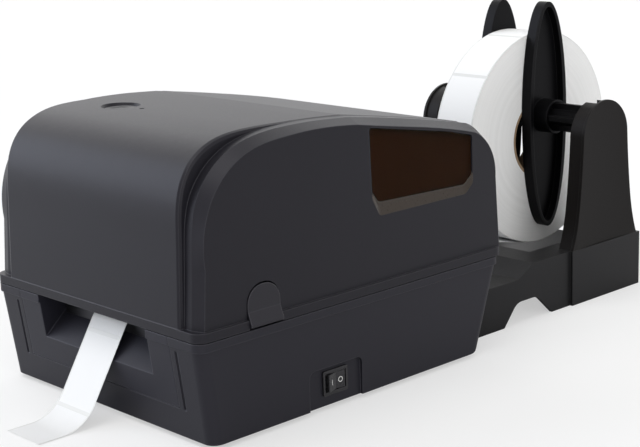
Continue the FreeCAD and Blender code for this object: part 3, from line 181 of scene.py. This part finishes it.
def moulded_plastic(name, colour, gloss, grain=1500.0, mottle=0.06, dust=0.0, edge_wear_highlight=0.35, depth=0.00006,
                    shine=0.22, edge=0.0007):
    """Moulded plastic: fine eroded grain, a little colour drift, softened edges lightened in colour, partly as rubbing
    wear and partly as a painted highlight.
    """
    material, tree, shader = new_material(name)
    skin = add(tree, "Group", {"node_tree": moulded_grain},
               {"Colour": (*colour, 1), "Gloss": gloss, "Grain": grain, "Mottle": mottle, "Dust": dust}).outputs
    edges = add(tree, "Group", {"node_tree": worn_and_highlit_edges}, {"Radius": edge}).outputs
    # Painted highlight and wear: the edges get a lighter colour.
    worn_highlit_colour = tuple(min(1.0, edge_wear_highlight_gain * c + edge_wear_highlight_lift) for c in colour)
    edge_wear_highlight_share = math_node(tree, "MULTIPLY", edges["Edge"], edge_wear_highlight)
    feed(tree, shader, {
        "Base Color": mix_colours(tree, edge_wear_highlight_share, skin["Colour"], (*worn_highlit_colour, 1)),
        "Roughness": skin["Roughness"],
        "Normal": bump_node(tree, 0.5, depth, skin["Height"], edges["Normal"]),
        "Specular IOR Level": shine,
        "Specular Tint": cool_shine})
    return material


def finish_in(material, *names):
    """The CAD pieces of these names get this material, with their curved faces shaded smooth."""
    for name in names:
        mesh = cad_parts[name].data
        mesh.materials.clear()
        mesh.materials.append(material)
        mesh.polygons.foreach_set("use_smooth", [True] * len(mesh.polygons))


# The blue in this charcoal is partly a painted cool cast of the front light.
base_abs = moulded_plastic("base_abs", (0.0132, 0.0128, 0.0175), 0.48, mottle=0.07, dust=0.02, edge_wear_highlight=0.6, edge=0.001)
finish_in(base_abs, "lower_housing")

# Front panel: a separate moulding with the scoop that leads the labels out, clipped into the tub.
# Same ABS from another mould, a shade lighter, so its joint lines show.
# The blue in this colour, as in the tub's, is partly a painted cool cast of the front light.
front_abs = moulded_plastic("front_abs", (0.0138, 0.0136, 0.0195), 0.48, mottle=0.07, dust=0.02, edge_wear_highlight=0.6, edge=0.001)
finish_in(front_abs, "front_panel")

# Rubber feet: soft black pads pressed into seats in the housing's floor.
# Moulded rubber with a coarse matt skin.
foot_rubber = moulded_plastic("foot_rubber", (0.018, 0.018, 0.018), 0.85, grain=900.0, mottle=0.15, edge_wear_highlight=0.2)
finish_in(foot_rubber, "rubber_feet")

# Power switch: a glossy black snap-in housing in a pocket of the right side, with its rocker.
# The rocker's marks are white, a bar for on and a ring for off, printed on its two faces.
switch_gloss = moulded_plastic("switch_gloss", (0.008, 0.008, 0.009), 0.24, grain=500.0, mottle=0.05, edge_wear_highlight=0.5,
                               depth=0.00001, shine=0.5, edge=0.0005)
finish_in(switch_gloss, "switch_housing")
rocker_gloss = moulded_plastic("rocker_gloss", (0.010, 0.010, 0.011), 0.28, grain=500.0, mottle=0.05, edge_wear_highlight=0.5,
                               depth=0.00001, shine=0.5, edge=0.0004)
finish_in(rocker_gloss, "power_rocker")
mark_white = moulded_plastic("mark_white", (0.72, 0.72, 0.7), 0.45, grain=3000.0, mottle=0.04, edge_wear_highlight=0.0, edge=0.0001)
mark_along = 0.0042
mark_reach = 0.0019
mark_sunk = 0.0001
mark_proud = 0.00012
bar_half = 0.00022
ring_inner = 0.00145
ring_sides = 40


def place_mesh(name, points, faces, material):
    """A mesh made in the script, in one material."""
    mesh = bpy.data.meshes.new(name)
    mesh.from_pydata(points, [], faces)
    mesh.materials.append(material)
    made = bpy.data.objects.new(name, mesh)
    bpy.context.scene.collection.objects.link(made)
    return made


def rocker_mark(name, along, outline, hole=None):
    """A thin printed mark on the rocker's face, lying square to the face it sits on."""
    low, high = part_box("power_rocker")
    middle = (low + high) / 2
    outside = Vector((high.x + 0.01, middle.y + along, middle.z))
    _, spot, normal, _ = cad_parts["power_rocker"].ray_cast(outside, Vector((-1, 0, 0)))
    side = Vector((0, 0, 1)).cross(normal).normalized()
    up = normal.cross(side)
    rings = [outline] if hole is None else [outline, hole]
    points = [spot + normal * lift + side * a + up * b
              for lift in (-mark_sunk, mark_proud) for ring in rings for a, b in ring]
    count = len(outline)
    pairs = [(i, (i + 1) % count) for i in range(count)]
    if hole is None:
        faces = [list(range(count, 2 * count)), list(range(count))[::-1]]
        faces += [[i, j, count + j, count + i] for i, j in pairs]
    else:
        faces = []
        for i, j in pairs:
            faces.append([2 * count + i, 2 * count + j, 3 * count + j, 3 * count + i])
            faces.append([i, j, 2 * count + j, 2 * count + i])
            faces.append([count + j, count + i, 3 * count + i, 3 * count + j])
            faces.append([j, i, count + i, count + j])
    mark = place_mesh(name, points, faces, mark_white)
    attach(mark, "rocker")


def circle(radius):
    turns = [2 * math.pi * i / ring_sides for i in range(ring_sides)]
    return [(radius * math.cos(t), radius * math.sin(t)) for t in turns]


rocker_mark("mark_on", -mark_along, [(-bar_half, -mark_reach), (bar_half, -mark_reach),
                                     (bar_half, mark_reach), (-bar_half, mark_reach)])
rocker_mark("mark_off", mark_along, circle(mark_reach), circle(ring_inner))

# Circuit board: green fibreglass on brass standoffs over the floor, with the rear sockets soldered on.
# The sockets reach through the rear wall: a black moulded power inlet and a plated data socket.
board_green = moulded_plastic("board_green", (0.012, 0.075, 0.03), 0.35, grain=700.0, mottle=0.2, edge_wear_highlight=0.3, shine=0.5)
finish_in(board_green, "circuit_board")
socket_black = moulded_plastic("socket_black", (0.012, 0.012, 0.013), 0.45, edge_wear_highlight=0.4, edge=0.0004)
finish_in(socket_black, "dc_inlet")

brushed_lines, taken, given = recipe(
    "brushed_lines",
    [("Colour", "Color", (0.55, 0.55, 0.56, 1)), ("Gloss", "Float", 0.3), ("Stretch", "Vector", (4, 900, 900))],
    [("Colour", "Color"), ("Roughness", "Float"), ("Height", "Float")])
line_tone = 0.35
line_roughness = 0.25
place = add(brushed_lines, "TexCoord").outputs["Object"]
drawn = vector_node(brushed_lines, "MULTIPLY", {0: place, 1: taken["Stretch"]})[0]
lines = noise(brushed_lines, drawn, 1.0, 3.0)
tone = swung(brushed_lines, lines, line_tone, 1.0)
feed(brushed_lines, given, {
    "Colour": vector_node(brushed_lines, "SCALE", {0: taken["Colour"], "Scale": tone})[0],
    "Roughness": swung(brushed_lines, lines, line_roughness, taken["Gloss"]),
    "Height": lines})


def worked_metal(name, colour, gloss, stretch=(8, 1200, 1200), edge=0.0003):
    """Drawn, turned or plated metal with fine tool lines and broken edges."""
    material, tree, shader = new_material(name)
    skin = add(tree, "Group", {"node_tree": brushed_lines},
               {"Colour": (*colour, 1), "Gloss": gloss, "Stretch": stretch}).outputs
    edges = add(tree, "Group", {"node_tree": worn_and_highlit_edges}, {"Radius": edge}).outputs
    feed(tree, shader, {
        "Base Color": skin["Colour"],
        "Roughness": skin["Roughness"],
        "Normal": bump_node(tree, 0.3, 0.00003, skin["Height"], edges["Normal"]),
        "Metallic": 1.0})
    return material


plated_steel = worked_metal("plated_steel", (0.62, 0.62, 0.63), 0.26)
finish_in(plated_steel, "usb_socket")
turned_brass = worked_metal("turned_brass", (0.72, 0.55, 0.25), 0.3, stretch=(900, 12, 12))
finish_in(turned_brass, "board_standoffs")

# Media deck: the grey inner moulding with the round well for an inside roll, over the whole tub.
# It carries the platen, the gear plate and the label guides, and is held by four screws.
deck_grey = moulded_plastic("deck_grey", (0.075, 0.077, 0.082), 0.55, mottle=0.05, dust=0.08)
finish_in(deck_grey, "media_deck")
screw_steel = worked_metal("screw_steel", (0.5, 0.5, 0.52), 0.35)
finish_in(screw_steel, "deck_screws")

# Platen: a ground rubber roller on a steel shaft in two plastic bushings at the front of the deck.
# A small stepper motor under the deck turns it through an idler; the pinion is brass, the wheels acetal.
platen_rubber = moulded_plastic("platen_rubber", (0.022, 0.022, 0.024), 0.7, grain=2500.0, mottle=0.12, edge_wear_highlight=0.1)
finish_in(platen_rubber, "platen_roller")
ground_steel = worked_metal("ground_steel", (0.6, 0.6, 0.61), 0.22, stretch=(900, 10, 10))
finish_in(ground_steel, "platen_shaft", "motor_shaft", "idler_post")
acetal = moulded_plastic("acetal", (0.66, 0.64, 0.58), 0.4, mottle=0.03, edge_wear_highlight=0.15, shine=0.45)
finish_in(acetal, "platen_gear", "idler_gear", "guide_pinion")
bushing_black = moulded_plastic("bushing_black", (0.02, 0.02, 0.02), 0.4, edge_wear_highlight=0.3)
finish_in(bushing_black, "platen_bushings")
motor_coat = moulded_plastic("motor_coat", (0.02, 0.021, 0.023), 0.38, grain=600.0, mottle=0.1, edge_wear_highlight=0.5, shine=0.5)
finish_in(motor_coat, "stepper_motor")
finish_in(turned_brass, "motor_pinion")

# Tear bar: a folded strip of blackened spring steel along the outlet, its front edge cut in fine teeth.
# It is hooked into the deck behind the front panel.
tear_steel = worked_metal("tear_steel", (0.045, 0.045, 0.05), 0.38)
finish_in(tear_steel, "tear_bar")

# Label guides: two blue-grey cheeks that close on the web together, by racks on one pinion.
# The colour marks them as a touch point; they slide in slots of the deck.
guide_blue = moulded_plastic("guide_blue", (0.06, 0.12, 0.19), 0.5, mottle=0.05, edge_wear_highlight=0.3)
finish_in(guide_blue, "label_guide_left", "label_guide_right")

# Hood: one large moulding with a raised centre panel that rolls over into the front, and bevelled flanks.
# It turns on two steel pins at the back edge; its skin has the same fine grain as the tub.
# The blue-violet in the hood's charcoal is partly a painted cool cast of the front light.
hood_abs = moulded_plastic("hood_abs", (0.0100, 0.0095, 0.0128), 0.43, mottle=0.08, dust=0.02, edge_wear_highlight=0.8, shine=0.2,
                           edge=0.0008)
finish_in(hood_abs, "lid_shell")
finish_in(ground_steel, "hinge_pins")

# Side windows: smoked amber acrylic, set in a seat behind the flank with a sloped sill, to show the ribbon.
# A thin strip lies on each sill and laps up the pane's foot; its light amber-brown colour is a painted lit band where
# the sill catches the light.
# The pane is a little rough: a smoother one shows a maze where the picture is cleaned of noise.
smoke_dark = (0.62, 0.27, 0.085, 1)
smoke_light = (0.70, 0.32, 0.11, 1)
smoked_amber, tree, shader = new_material("smoked_amber")
smear = noise(tree, add(tree, "TexCoord").outputs["Object"], 40.0, 3.0)
feed(tree, shader, {
    "Base Color": mix_colours(tree, smear, smoke_dark, smoke_light),
    "Roughness": remap(tree, smear, 0.3, 0.7, 0.28, 0.31),
    "Transmission Weight": 0.99,
    "IOR": 1.10})
finish_in(smoked_amber, "window_left", "window_right")
# Painted light: the sill strip's light amber-brown colour, well above the hood's, paints the lit band along the sill.
sill_painted_lit_band = moulded_plastic("sill_painted_lit_band", (0.036, 0.028, 0.021), 0.3, grain=600.0, mottle=0.08, edge_wear_highlight=0.4,
                             depth=0.00002, edge=0.0003)
pane_seam = 0.0002
pane_clear = 0.00001
sill_drop = 0.0056
sill_spread = 0.00035
sill_out = 0.0014
sill_film = 0.00005
tip_drop = 0.0010
band_front = 0.0038
band_rear = 0.0008
corner_rise = 0.013
for side in ("left", "right"):
    low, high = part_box("window_" + side)
    outwards = -1 if side == "left" else 1
    pane_x = max(abs(low.x), abs(high.x))
    corners = [v.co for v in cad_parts["window_" + side].data.vertices]
    foot_line = sorted({(round(c.y, 6), round(c.z, 6)) for c in corners
                        if abs(abs(c.x) - pane_x) < 0.00001 and c.z < low.z + corner_rise})
    face_x = pane_x + sill_film + pane_clear
    back_x = face_x - sill_film
    points = []
    for i, (y, z) in enumerate(foot_line):
        along = (y - low.y) / (high.y - low.y)
        rise = (band_front + (band_rear - band_front) * along) * (1 - (z - low.z) / corner_rise)
        drop = tip_drop if i in (0, len(foot_line) - 1) else sill_drop
        spread = 1 if along > 0.5 else -1
        y += spread * pane_seam
        z -= pane_seam
        brink = (y + spread * sill_spread, z - drop)
        section = [(face_x, y, z + rise), (face_x, y, z), (face_x + sill_out, *brink),
                   (back_x + sill_out, *brink), (back_x, y, z), (back_x, y, z + rise)]
        points += [(outwards * x, at_y, at_z) for x, at_y, at_z in section]
    ring = len(section)
    last = len(points) - ring
    faces = [[row + k, row + (k + 1) % ring, row + ring + (k + 1) % ring, row + ring + k][::outwards]
             for row in range(0, last, ring) for k in range(ring)]
    faces += [list(range(ring))[::-outwards], list(range(last, last + ring))[::outwards]]
    sill = place_mesh("window_sill_" + side, points, faces, sill_painted_lit_band)
    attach(sill, "lid")

# Release tabs: arched levers in the hood's sides, on trunnions between two lugs, with a finger lip.
# Pulled outwards, their legs leave the catches on the deck.
# The blue in the tabs' charcoal is partly a painted cool cast of the front light.
tab_abs = moulded_plastic("tab_abs", (0.0108, 0.0103, 0.0138), 0.36, mottle=0.06, edge_wear_highlight=0.8, shine=0.3, edge=0.001)
finish_in(tab_abs, "release_tab_left", "release_tab_right")

# Feed button: a round dished key in a shallow ring of the roof, with a clear light pipe beside it.
# The key slides in a tube of the hood on a spring.
button_satin = moulded_plastic("button_satin", (0.022, 0.022, 0.024), 0.4, mottle=0.05, edge_wear_highlight=0.5)
finish_in(button_satin, "feed_button")
lens_clear = moulded_plastic("lens_clear", (0.5, 0.56, 0.53), 0.15, grain=300.0, mottle=0.05, edge_wear_highlight=0.1, shine=0.5)
finish_in(lens_clear, "status_lens")

# Ribbon carriage: two grey side plates with cross bars under the hood, for the ribbon's two cores.
# The cores are card tubes; the full one is wound with black wax ribbon.
finish_in(deck_grey, "ribbon_frame")
card_brown = moulded_plastic("card_brown", (0.30, 0.21, 0.13), 0.85, grain=1100.0, mottle=0.18, edge_wear_highlight=0.3, depth=0.0001)
finish_in(card_brown, "supply_core", "takeup_core")
ribbon_wax = moulded_plastic("ribbon_wax", (0.008, 0.008, 0.010), 0.22, grain=250.0, mottle=0.2, edge_wear_highlight=0.2, shine=0.5)
finish_in(ribbon_wax, "ribbon_roll")

# Print head: a glazed ceramic strip under an aluminium bracket, pressed on the platen by two coil springs.
# The springs are wound from steel wire and sit on posts of the carriage.
head_glaze = moulded_plastic("head_glaze", (0.24, 0.21, 0.17), 0.2, grain=400.0, mottle=0.1, shine=0.5)
finish_in(head_glaze, "print_head")
head_aluminium = worked_metal("head_aluminium", (0.72, 0.72, 0.73), 0.34)
finish_in(head_aluminium, "head_bracket")
wire = 0.0004
coils = 8
steps = coils * 12
dead_coil = 0.08
low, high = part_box("head_springs")
middle_y = (low.y + high.y) / 2
half_coil = (high.y - low.y) / 2
reach = half_coil - wire
travel = high.z - low.z - 2 * wire
for name, centre in (("head_spring_left", low.x + half_coil), ("head_spring_right", high.x - half_coil)):
    curve = bpy.data.curves.new(name, "CURVE")
    curve.dimensions = "3D"
    curve.bevel_depth = wire
    curve.bevel_resolution = 3
    curve.resolution_u = 3
    curve.use_fill_caps = True
    spline = curve.splines.new("NURBS")
    spline.points.add(steps)
    for i, point in enumerate(spline.points):
        share = i / steps
        climbed = min(1.0, max(0.0, (share - dead_coil) / (1 - 2 * dead_coil)))
        angle = 2 * math.pi * coils * share
        point.co = (centre + reach * math.cos(angle), middle_y + reach * math.sin(angle),
                    low.z + wire + travel * climbed, 1)
    spline.order_u = 4
    spline.use_endpoint_u = True
    spring = bpy.data.objects.new(name, curve)
    bpy.context.scene.collection.objects.link(spring)
    curve.materials.append(ground_steel)
    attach(spring, "lid")
    if centre < 0:
        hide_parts("head_springs")

# Roll stand: a hollow deck with a round well under the roll, standing behind the printer on the same table.
# Two bell-shaped uprights are plugged into it; all three are moulded in satin black ABS. The uprights' colour is tinted
# brown: a painted brownish reflection.
stand_abs = moulded_plastic("stand_abs", (0.0080, 0.0080, 0.0083), 0.44, mottle=0.07, dust=0.03, shine=0.18)
finish_in(stand_abs, "stand_base")
# Painted reflection: the uprights' black is tinted brown, as a brownish reflection on their faces.
upright_brown_painted_reflection = moulded_plastic("upright_brown_painted_reflection", (0.0078, 0.0068, 0.0061), 0.44, mottle=0.07, dust=0.02, shine=0.1)
finish_in(upright_brown_painted_reflection, "upright_left", "upright_right")

# Spindle and roll guides: a ribbed bar that drops into the uprights' slots, and two long oval plates.
# The plates slide along the bar on their collars and hold the roll between them.
paddle_black = moulded_plastic("paddle_black", (0.0030, 0.0030, 0.0034), 0.4, mottle=0.06, dust=0.01, shine=0.08)
finish_in(paddle_black, "roll_spindle", "roll_guide_left", "roll_guide_right")

# Label roll: white labels on their liner, wound many turns on a card core that hangs on the spindle.
# The ends show the edges of the turns as fine rings, and the outer turn the gaps between the die-cut labels.
label_pitch = 0.053
label_gap = 0.0028
label_margin = 0.0013
cut_soft = 0.0001
turn_dark = (0.80, 0.797, 0.785, 1)
turn_light = (0.95, 0.948, 0.94, 1)
wound_liner = (0.72, 0.72, 0.70, 1)


def past(tree, value, limit):
    """One where a value has passed a limit, none before it, with a short ramp between."""
    return remap(tree, value, limit - cut_soft, limit + cut_soft)


def rings_of(tree, radius, scale, detail):
    return add(tree, "TexNoise", {"noise_dimensions": "1D"}, {"W": radius, "Scale": scale, "Detail": detail}).outputs[0]


roll_low, roll_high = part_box("label_roll")
rim = (roll_high.z - roll_low.z) / 2
half_width = (roll_high.x - roll_low.x) / 2
label_paper, tree, shader = new_material("label_paper")
place = add(tree, "TexCoord").outputs["Object"]
centred = vector_node(tree, "SUBTRACT", {0: place, 1: (roll_low + roll_high) / 2})[0]
radial = vector_node(tree, "MULTIPLY", {0: centred, 1: (0, 1, 1)})[0]
radius = vector_node(tree, "LENGTH", {0: radial})["Value"]
turns_seen = rings_of(tree, radius, 2600.0, 3.0)
bands_seen = rings_of(tree, radius, 260.0, 2.0)
fibre = noise(tree, place, 900.0, 3.0)
ring_tone = math_node(tree, "MULTIPLY_ADD", turns_seen, 0.45, math_node(tree, "MULTIPLY", bands_seen, 0.55))
spot = add(tree, "SeparateXYZ", {}, {0: centred}).outputs
around = math_node(tree, "MULTIPLY", math_node(tree, "ARCTAN2", spot[2], spot[1]), rim)
label_here = past(tree, math_node(tree, "PINGPONG", around, label_pitch / 2), label_gap / 2)
from_side = math_node(tree, "SUBTRACT", half_width, math_node(tree, "ABSOLUTE", spot[0], 0.0))
label_mask = math_node(tree, "MULTIPLY", label_here, past(tree, from_side, label_margin))
on_rim = remap(tree, radius, rim - 0.0006, rim - 0.0003)
liner_seen = math_node(tree, "MULTIPLY", math_node(tree, "SUBTRACT", 1.0, label_mask), on_rim)
ringed = math_node(tree, "MULTIPLY_ADD", fibre, 0.3, turns_seen)
feed(tree, shader, {
    "Base Color": mix_colours(tree, liner_seen, mix_colours(tree, ring_tone, turn_dark, turn_light), wound_liner),
    "Roughness": remap(tree, fibre, 0.0, 1.0, 0.6, 0.85),
    "Normal": bump_node(tree, 0.5, 0.0001, ringed),
    "Specular IOR Level": 0.25})
finish_in(label_paper, "label_roll")
finish_in(card_brown, "roll_core")

# Label web: the strip of labels on its liner, from under the roll through the rear slot, over the platen,
# out of the scoop and down to the table. The labels are die-cut, with a narrow gap between them.
web_width = 0.037
web_level = 0.066
web_table = 0.0002
web_route = [(0.18877, 0.03652, 0.0), (0.04169, web_level, 0.060), (-0.21871, web_level, 0.012),
             (-0.25872, web_table, 0.030), (-0.29359, web_table, 0.0)]
web_step = 0.003
bend_steps = 12
columns = 9
strip_liner = (0.68, 0.68, 0.66, 1)
strip_label = (0.78, 0.78, 0.775, 1)


def turned(arm, angle):
    """A flat vector turned about the origin."""
    return Vector((arm.x * math.cos(angle) - arm.y * math.sin(angle),
                   arm.x * math.sin(angle) + arm.y * math.cos(angle)))


path = []
for i, (y, z, bend) in enumerate(web_route):
    here = Vector((y, z))
    if bend == 0.0:
        path.append(here)
        continue
    before = (Vector(web_route[i - 1][:2]) - here).normalized()
    after = (Vector(web_route[i + 1][:2]) - here).normalized()
    corner = before.angle(after)
    hub = here + (before + after).normalized() * (bend / math.sin(corner / 2))
    arm = here + before * (bend / math.tan(corner / 2)) - hub
    sense = 1 if arm.y * before.x - arm.x * before.y > 0 else -1
    path += [hub + turned(arm, sense * (math.pi - corner) * k / bend_steps) for k in range(bend_steps + 1)]
spaced = [path[0]]
for point in path[1:]:
    origin = spaced[-1].copy()
    pieces = max(1, math.ceil((point - origin).length / web_step))
    spaced += [origin.lerp(point, k / pieces) for k in range(1, pieces + 1)]
web_points = []
web_along = []
run = 0.0
for i, point in enumerate(spaced):
    run += (point - spaced[i - 1]).length if i else 0.0
    for c in range(columns):
        share = c / (columns - 1)
        web_points.append((web_width * (share - 0.5), point.x, point.y))
        web_along.append((share * web_width, run))
web_faces = [[r * columns + c, r * columns + c + 1, (r + 1) * columns + c + 1, (r + 1) * columns + c]
             for r in range(len(spaced) - 1) for c in range(columns - 1)]

label_stock, tree, shader = new_material("label_stock")
cut = add(tree, "SeparateXYZ", {}, {0: add(tree, "UVMap", {"uv_map": "along"}).outputs[0]}).outputs
from_edge = math_node(tree, "MINIMUM", cut[0], math_node(tree, "SUBTRACT", web_width, cut[0]))
label_here = past(tree, math_node(tree, "PINGPONG", cut[1], label_pitch / 2), label_gap / 2)
label_mask = math_node(tree, "MULTIPLY", past(tree, from_edge, label_margin), label_here)
fibre = noise(tree, add(tree, "TexCoord").outputs["Object"], 1100.0, 3.0)
relief = math_node(tree, "MULTIPLY_ADD", fibre, 0.15, label_mask)
feed(tree, shader, {
    "Base Color": mix_colours(tree, label_mask, strip_liner, strip_label),
    "Roughness": remap(tree, label_mask, 0.0, 1.0, 0.4, 0.6),
    "Normal": bump_node(tree, 0.6, 0.0001, relief),
    "Specular IOR Level": 0.3})
web = place_mesh("label_strip", web_points, web_faces, label_stock)
layer = web.data.uv_layers.new(name="along")
for loop in web.data.loops:
    layer.data[loop.index].uv = web_along[loop.vertex_index]
web.data.polygons.foreach_set("use_smooth", [True] * len(web.data.polygons))
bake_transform(web)
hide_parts("label_web")

# Floor and light: a pale table top under a soft white studio tent, with six broad soft lamps around and above.
# The lamp at the front is a little cool. The floor is lifted for the eye alone, so that it stays pale.
floor_half = 9.0
floor_under = 0.0002
floor_lift = 0.5
floor_white, tree, shader = new_material("floor_white")
feed(tree, shader, {"Base Color": (0.86, 0.86, 0.86, 1), "Roughness": 0.9, "Specular IOR Level": 0.1})
lift = math_node(tree, "MULTIPLY", add(tree, "LightPath").outputs["Is Camera Ray"], floor_lift)
glow = add(tree, "Emission", {}, {"Strength": 1.0}).outputs[0]
lit = add(tree, "MixShader", {}, {0: lift, 1: shader.outputs[0], 2: glow}).outputs[0]
feed(tree, tree.nodes["Material Output"], {"Surface": lit})
floor = place_mesh("floor", [(-floor_half, -floor_half, 0), (floor_half, -floor_half, 0),
                             (floor_half, floor_half, 0), (-floor_half, floor_half, 0)], [(0, 1, 2, 3)], floor_white)
floor.location.z = cad_low.z - floor_under

tent_light = 0.27
tent_seen = 1.0
tent = bpy.data.worlds.new("tent")
tent.use_nodes = True
tree = tent.node_tree
rays = add(tree, "LightPath").outputs
straight = math_node(tree, "MAXIMUM", rays["Is Camera Ray"],
                     math_node(tree, "MAXIMUM", rays["Is Glossy Ray"], rays["Is Transmission Ray"]))
strength = math_node(tree, "MULTIPLY_ADD", straight, tent_seen - tent_light, tent_light)
feed(tree, tree.nodes["Background"], {"Strength": strength, "Color": (1, 1, 1, 1)})
bpy.context.scene.world = tent

white = (1.0, 1.0, 1.0)
cool = (0.80, 0.87, 1.0)
# Each lamp: its name, where it stands from the part, how wide it looks in degrees, its power and its colour.
lamps = (("lamp_left", (-0.79, 0.18, 0.59), 48, 0.6, white),
         ("lamp_above", (-0.02, -0.30, 0.95), 44, 1.25, white),
         ("lamp_front", (-0.77, -0.56, 0.30), 46, 1.6, cool),
         ("lamp_back", (-0.66, 0.66, 0.28), 60, 0.18, white),
         ("lamp_rear", (-0.10, 0.85, 0.50), 60, 0.7, white),
         ("lamp_right", (0.85, -0.35, 0.40), 60, 1.2, white))
for name, towards, width, power, colour in lamps:
    lamp = bpy.data.lights.new(name, "SUN")
    lamp.angle = math.radians(width)
    lamp.energy = power
    lamp.color = colour
    tripod = bpy.data.objects.new(name, lamp)
    bpy.context.scene.collection.objects.link(tripod)
    tripod.rotation_mode = "QUATERNION"
    tripod.rotation_quaternion = (-Vector(towards)).to_track_quat("-Z", "Y")
bpy.context.scene.view_settings.view_transform = "Standard"

# Camera: to the right of the front and a little above the hood, as the picture was taken.
# Its place, turn and lens were fitted to the straight edges in the picture.
eye_place = (0.793013, -0.770436, 0.348137)
yaw = math.radians(46.915)
pitch = math.radians(13.342)
roll = math.radians(-1.929)
picture_width = 640
focal_pixels = 1510.2
ahead = Vector((-math.sin(yaw) * math.cos(pitch), math.cos(yaw) * math.cos(pitch), -math.sin(pitch)))
level = Vector((math.cos(yaw), math.sin(yaw), 0))
upright = level.cross(ahead)
right = level * math.cos(roll) + upright * math.sin(roll)
top = upright * math.cos(roll) - level * math.sin(roll)
camera = bpy.data.cameras.new("camera")
camera.sensor_width = 36.0
camera.lens = focal_pixels / picture_width * camera.sensor_width
camera.clip_start = 0.05
camera.clip_end = 50.0
eye = bpy.data.objects.new("camera", camera)
bpy.context.scene.collection.objects.link(eye)
eye.matrix_world = Matrix.Translation(eye_place) @ Matrix((right, top, -ahead)).transposed().to_4x4()
bpy.context.scene.camera = eye
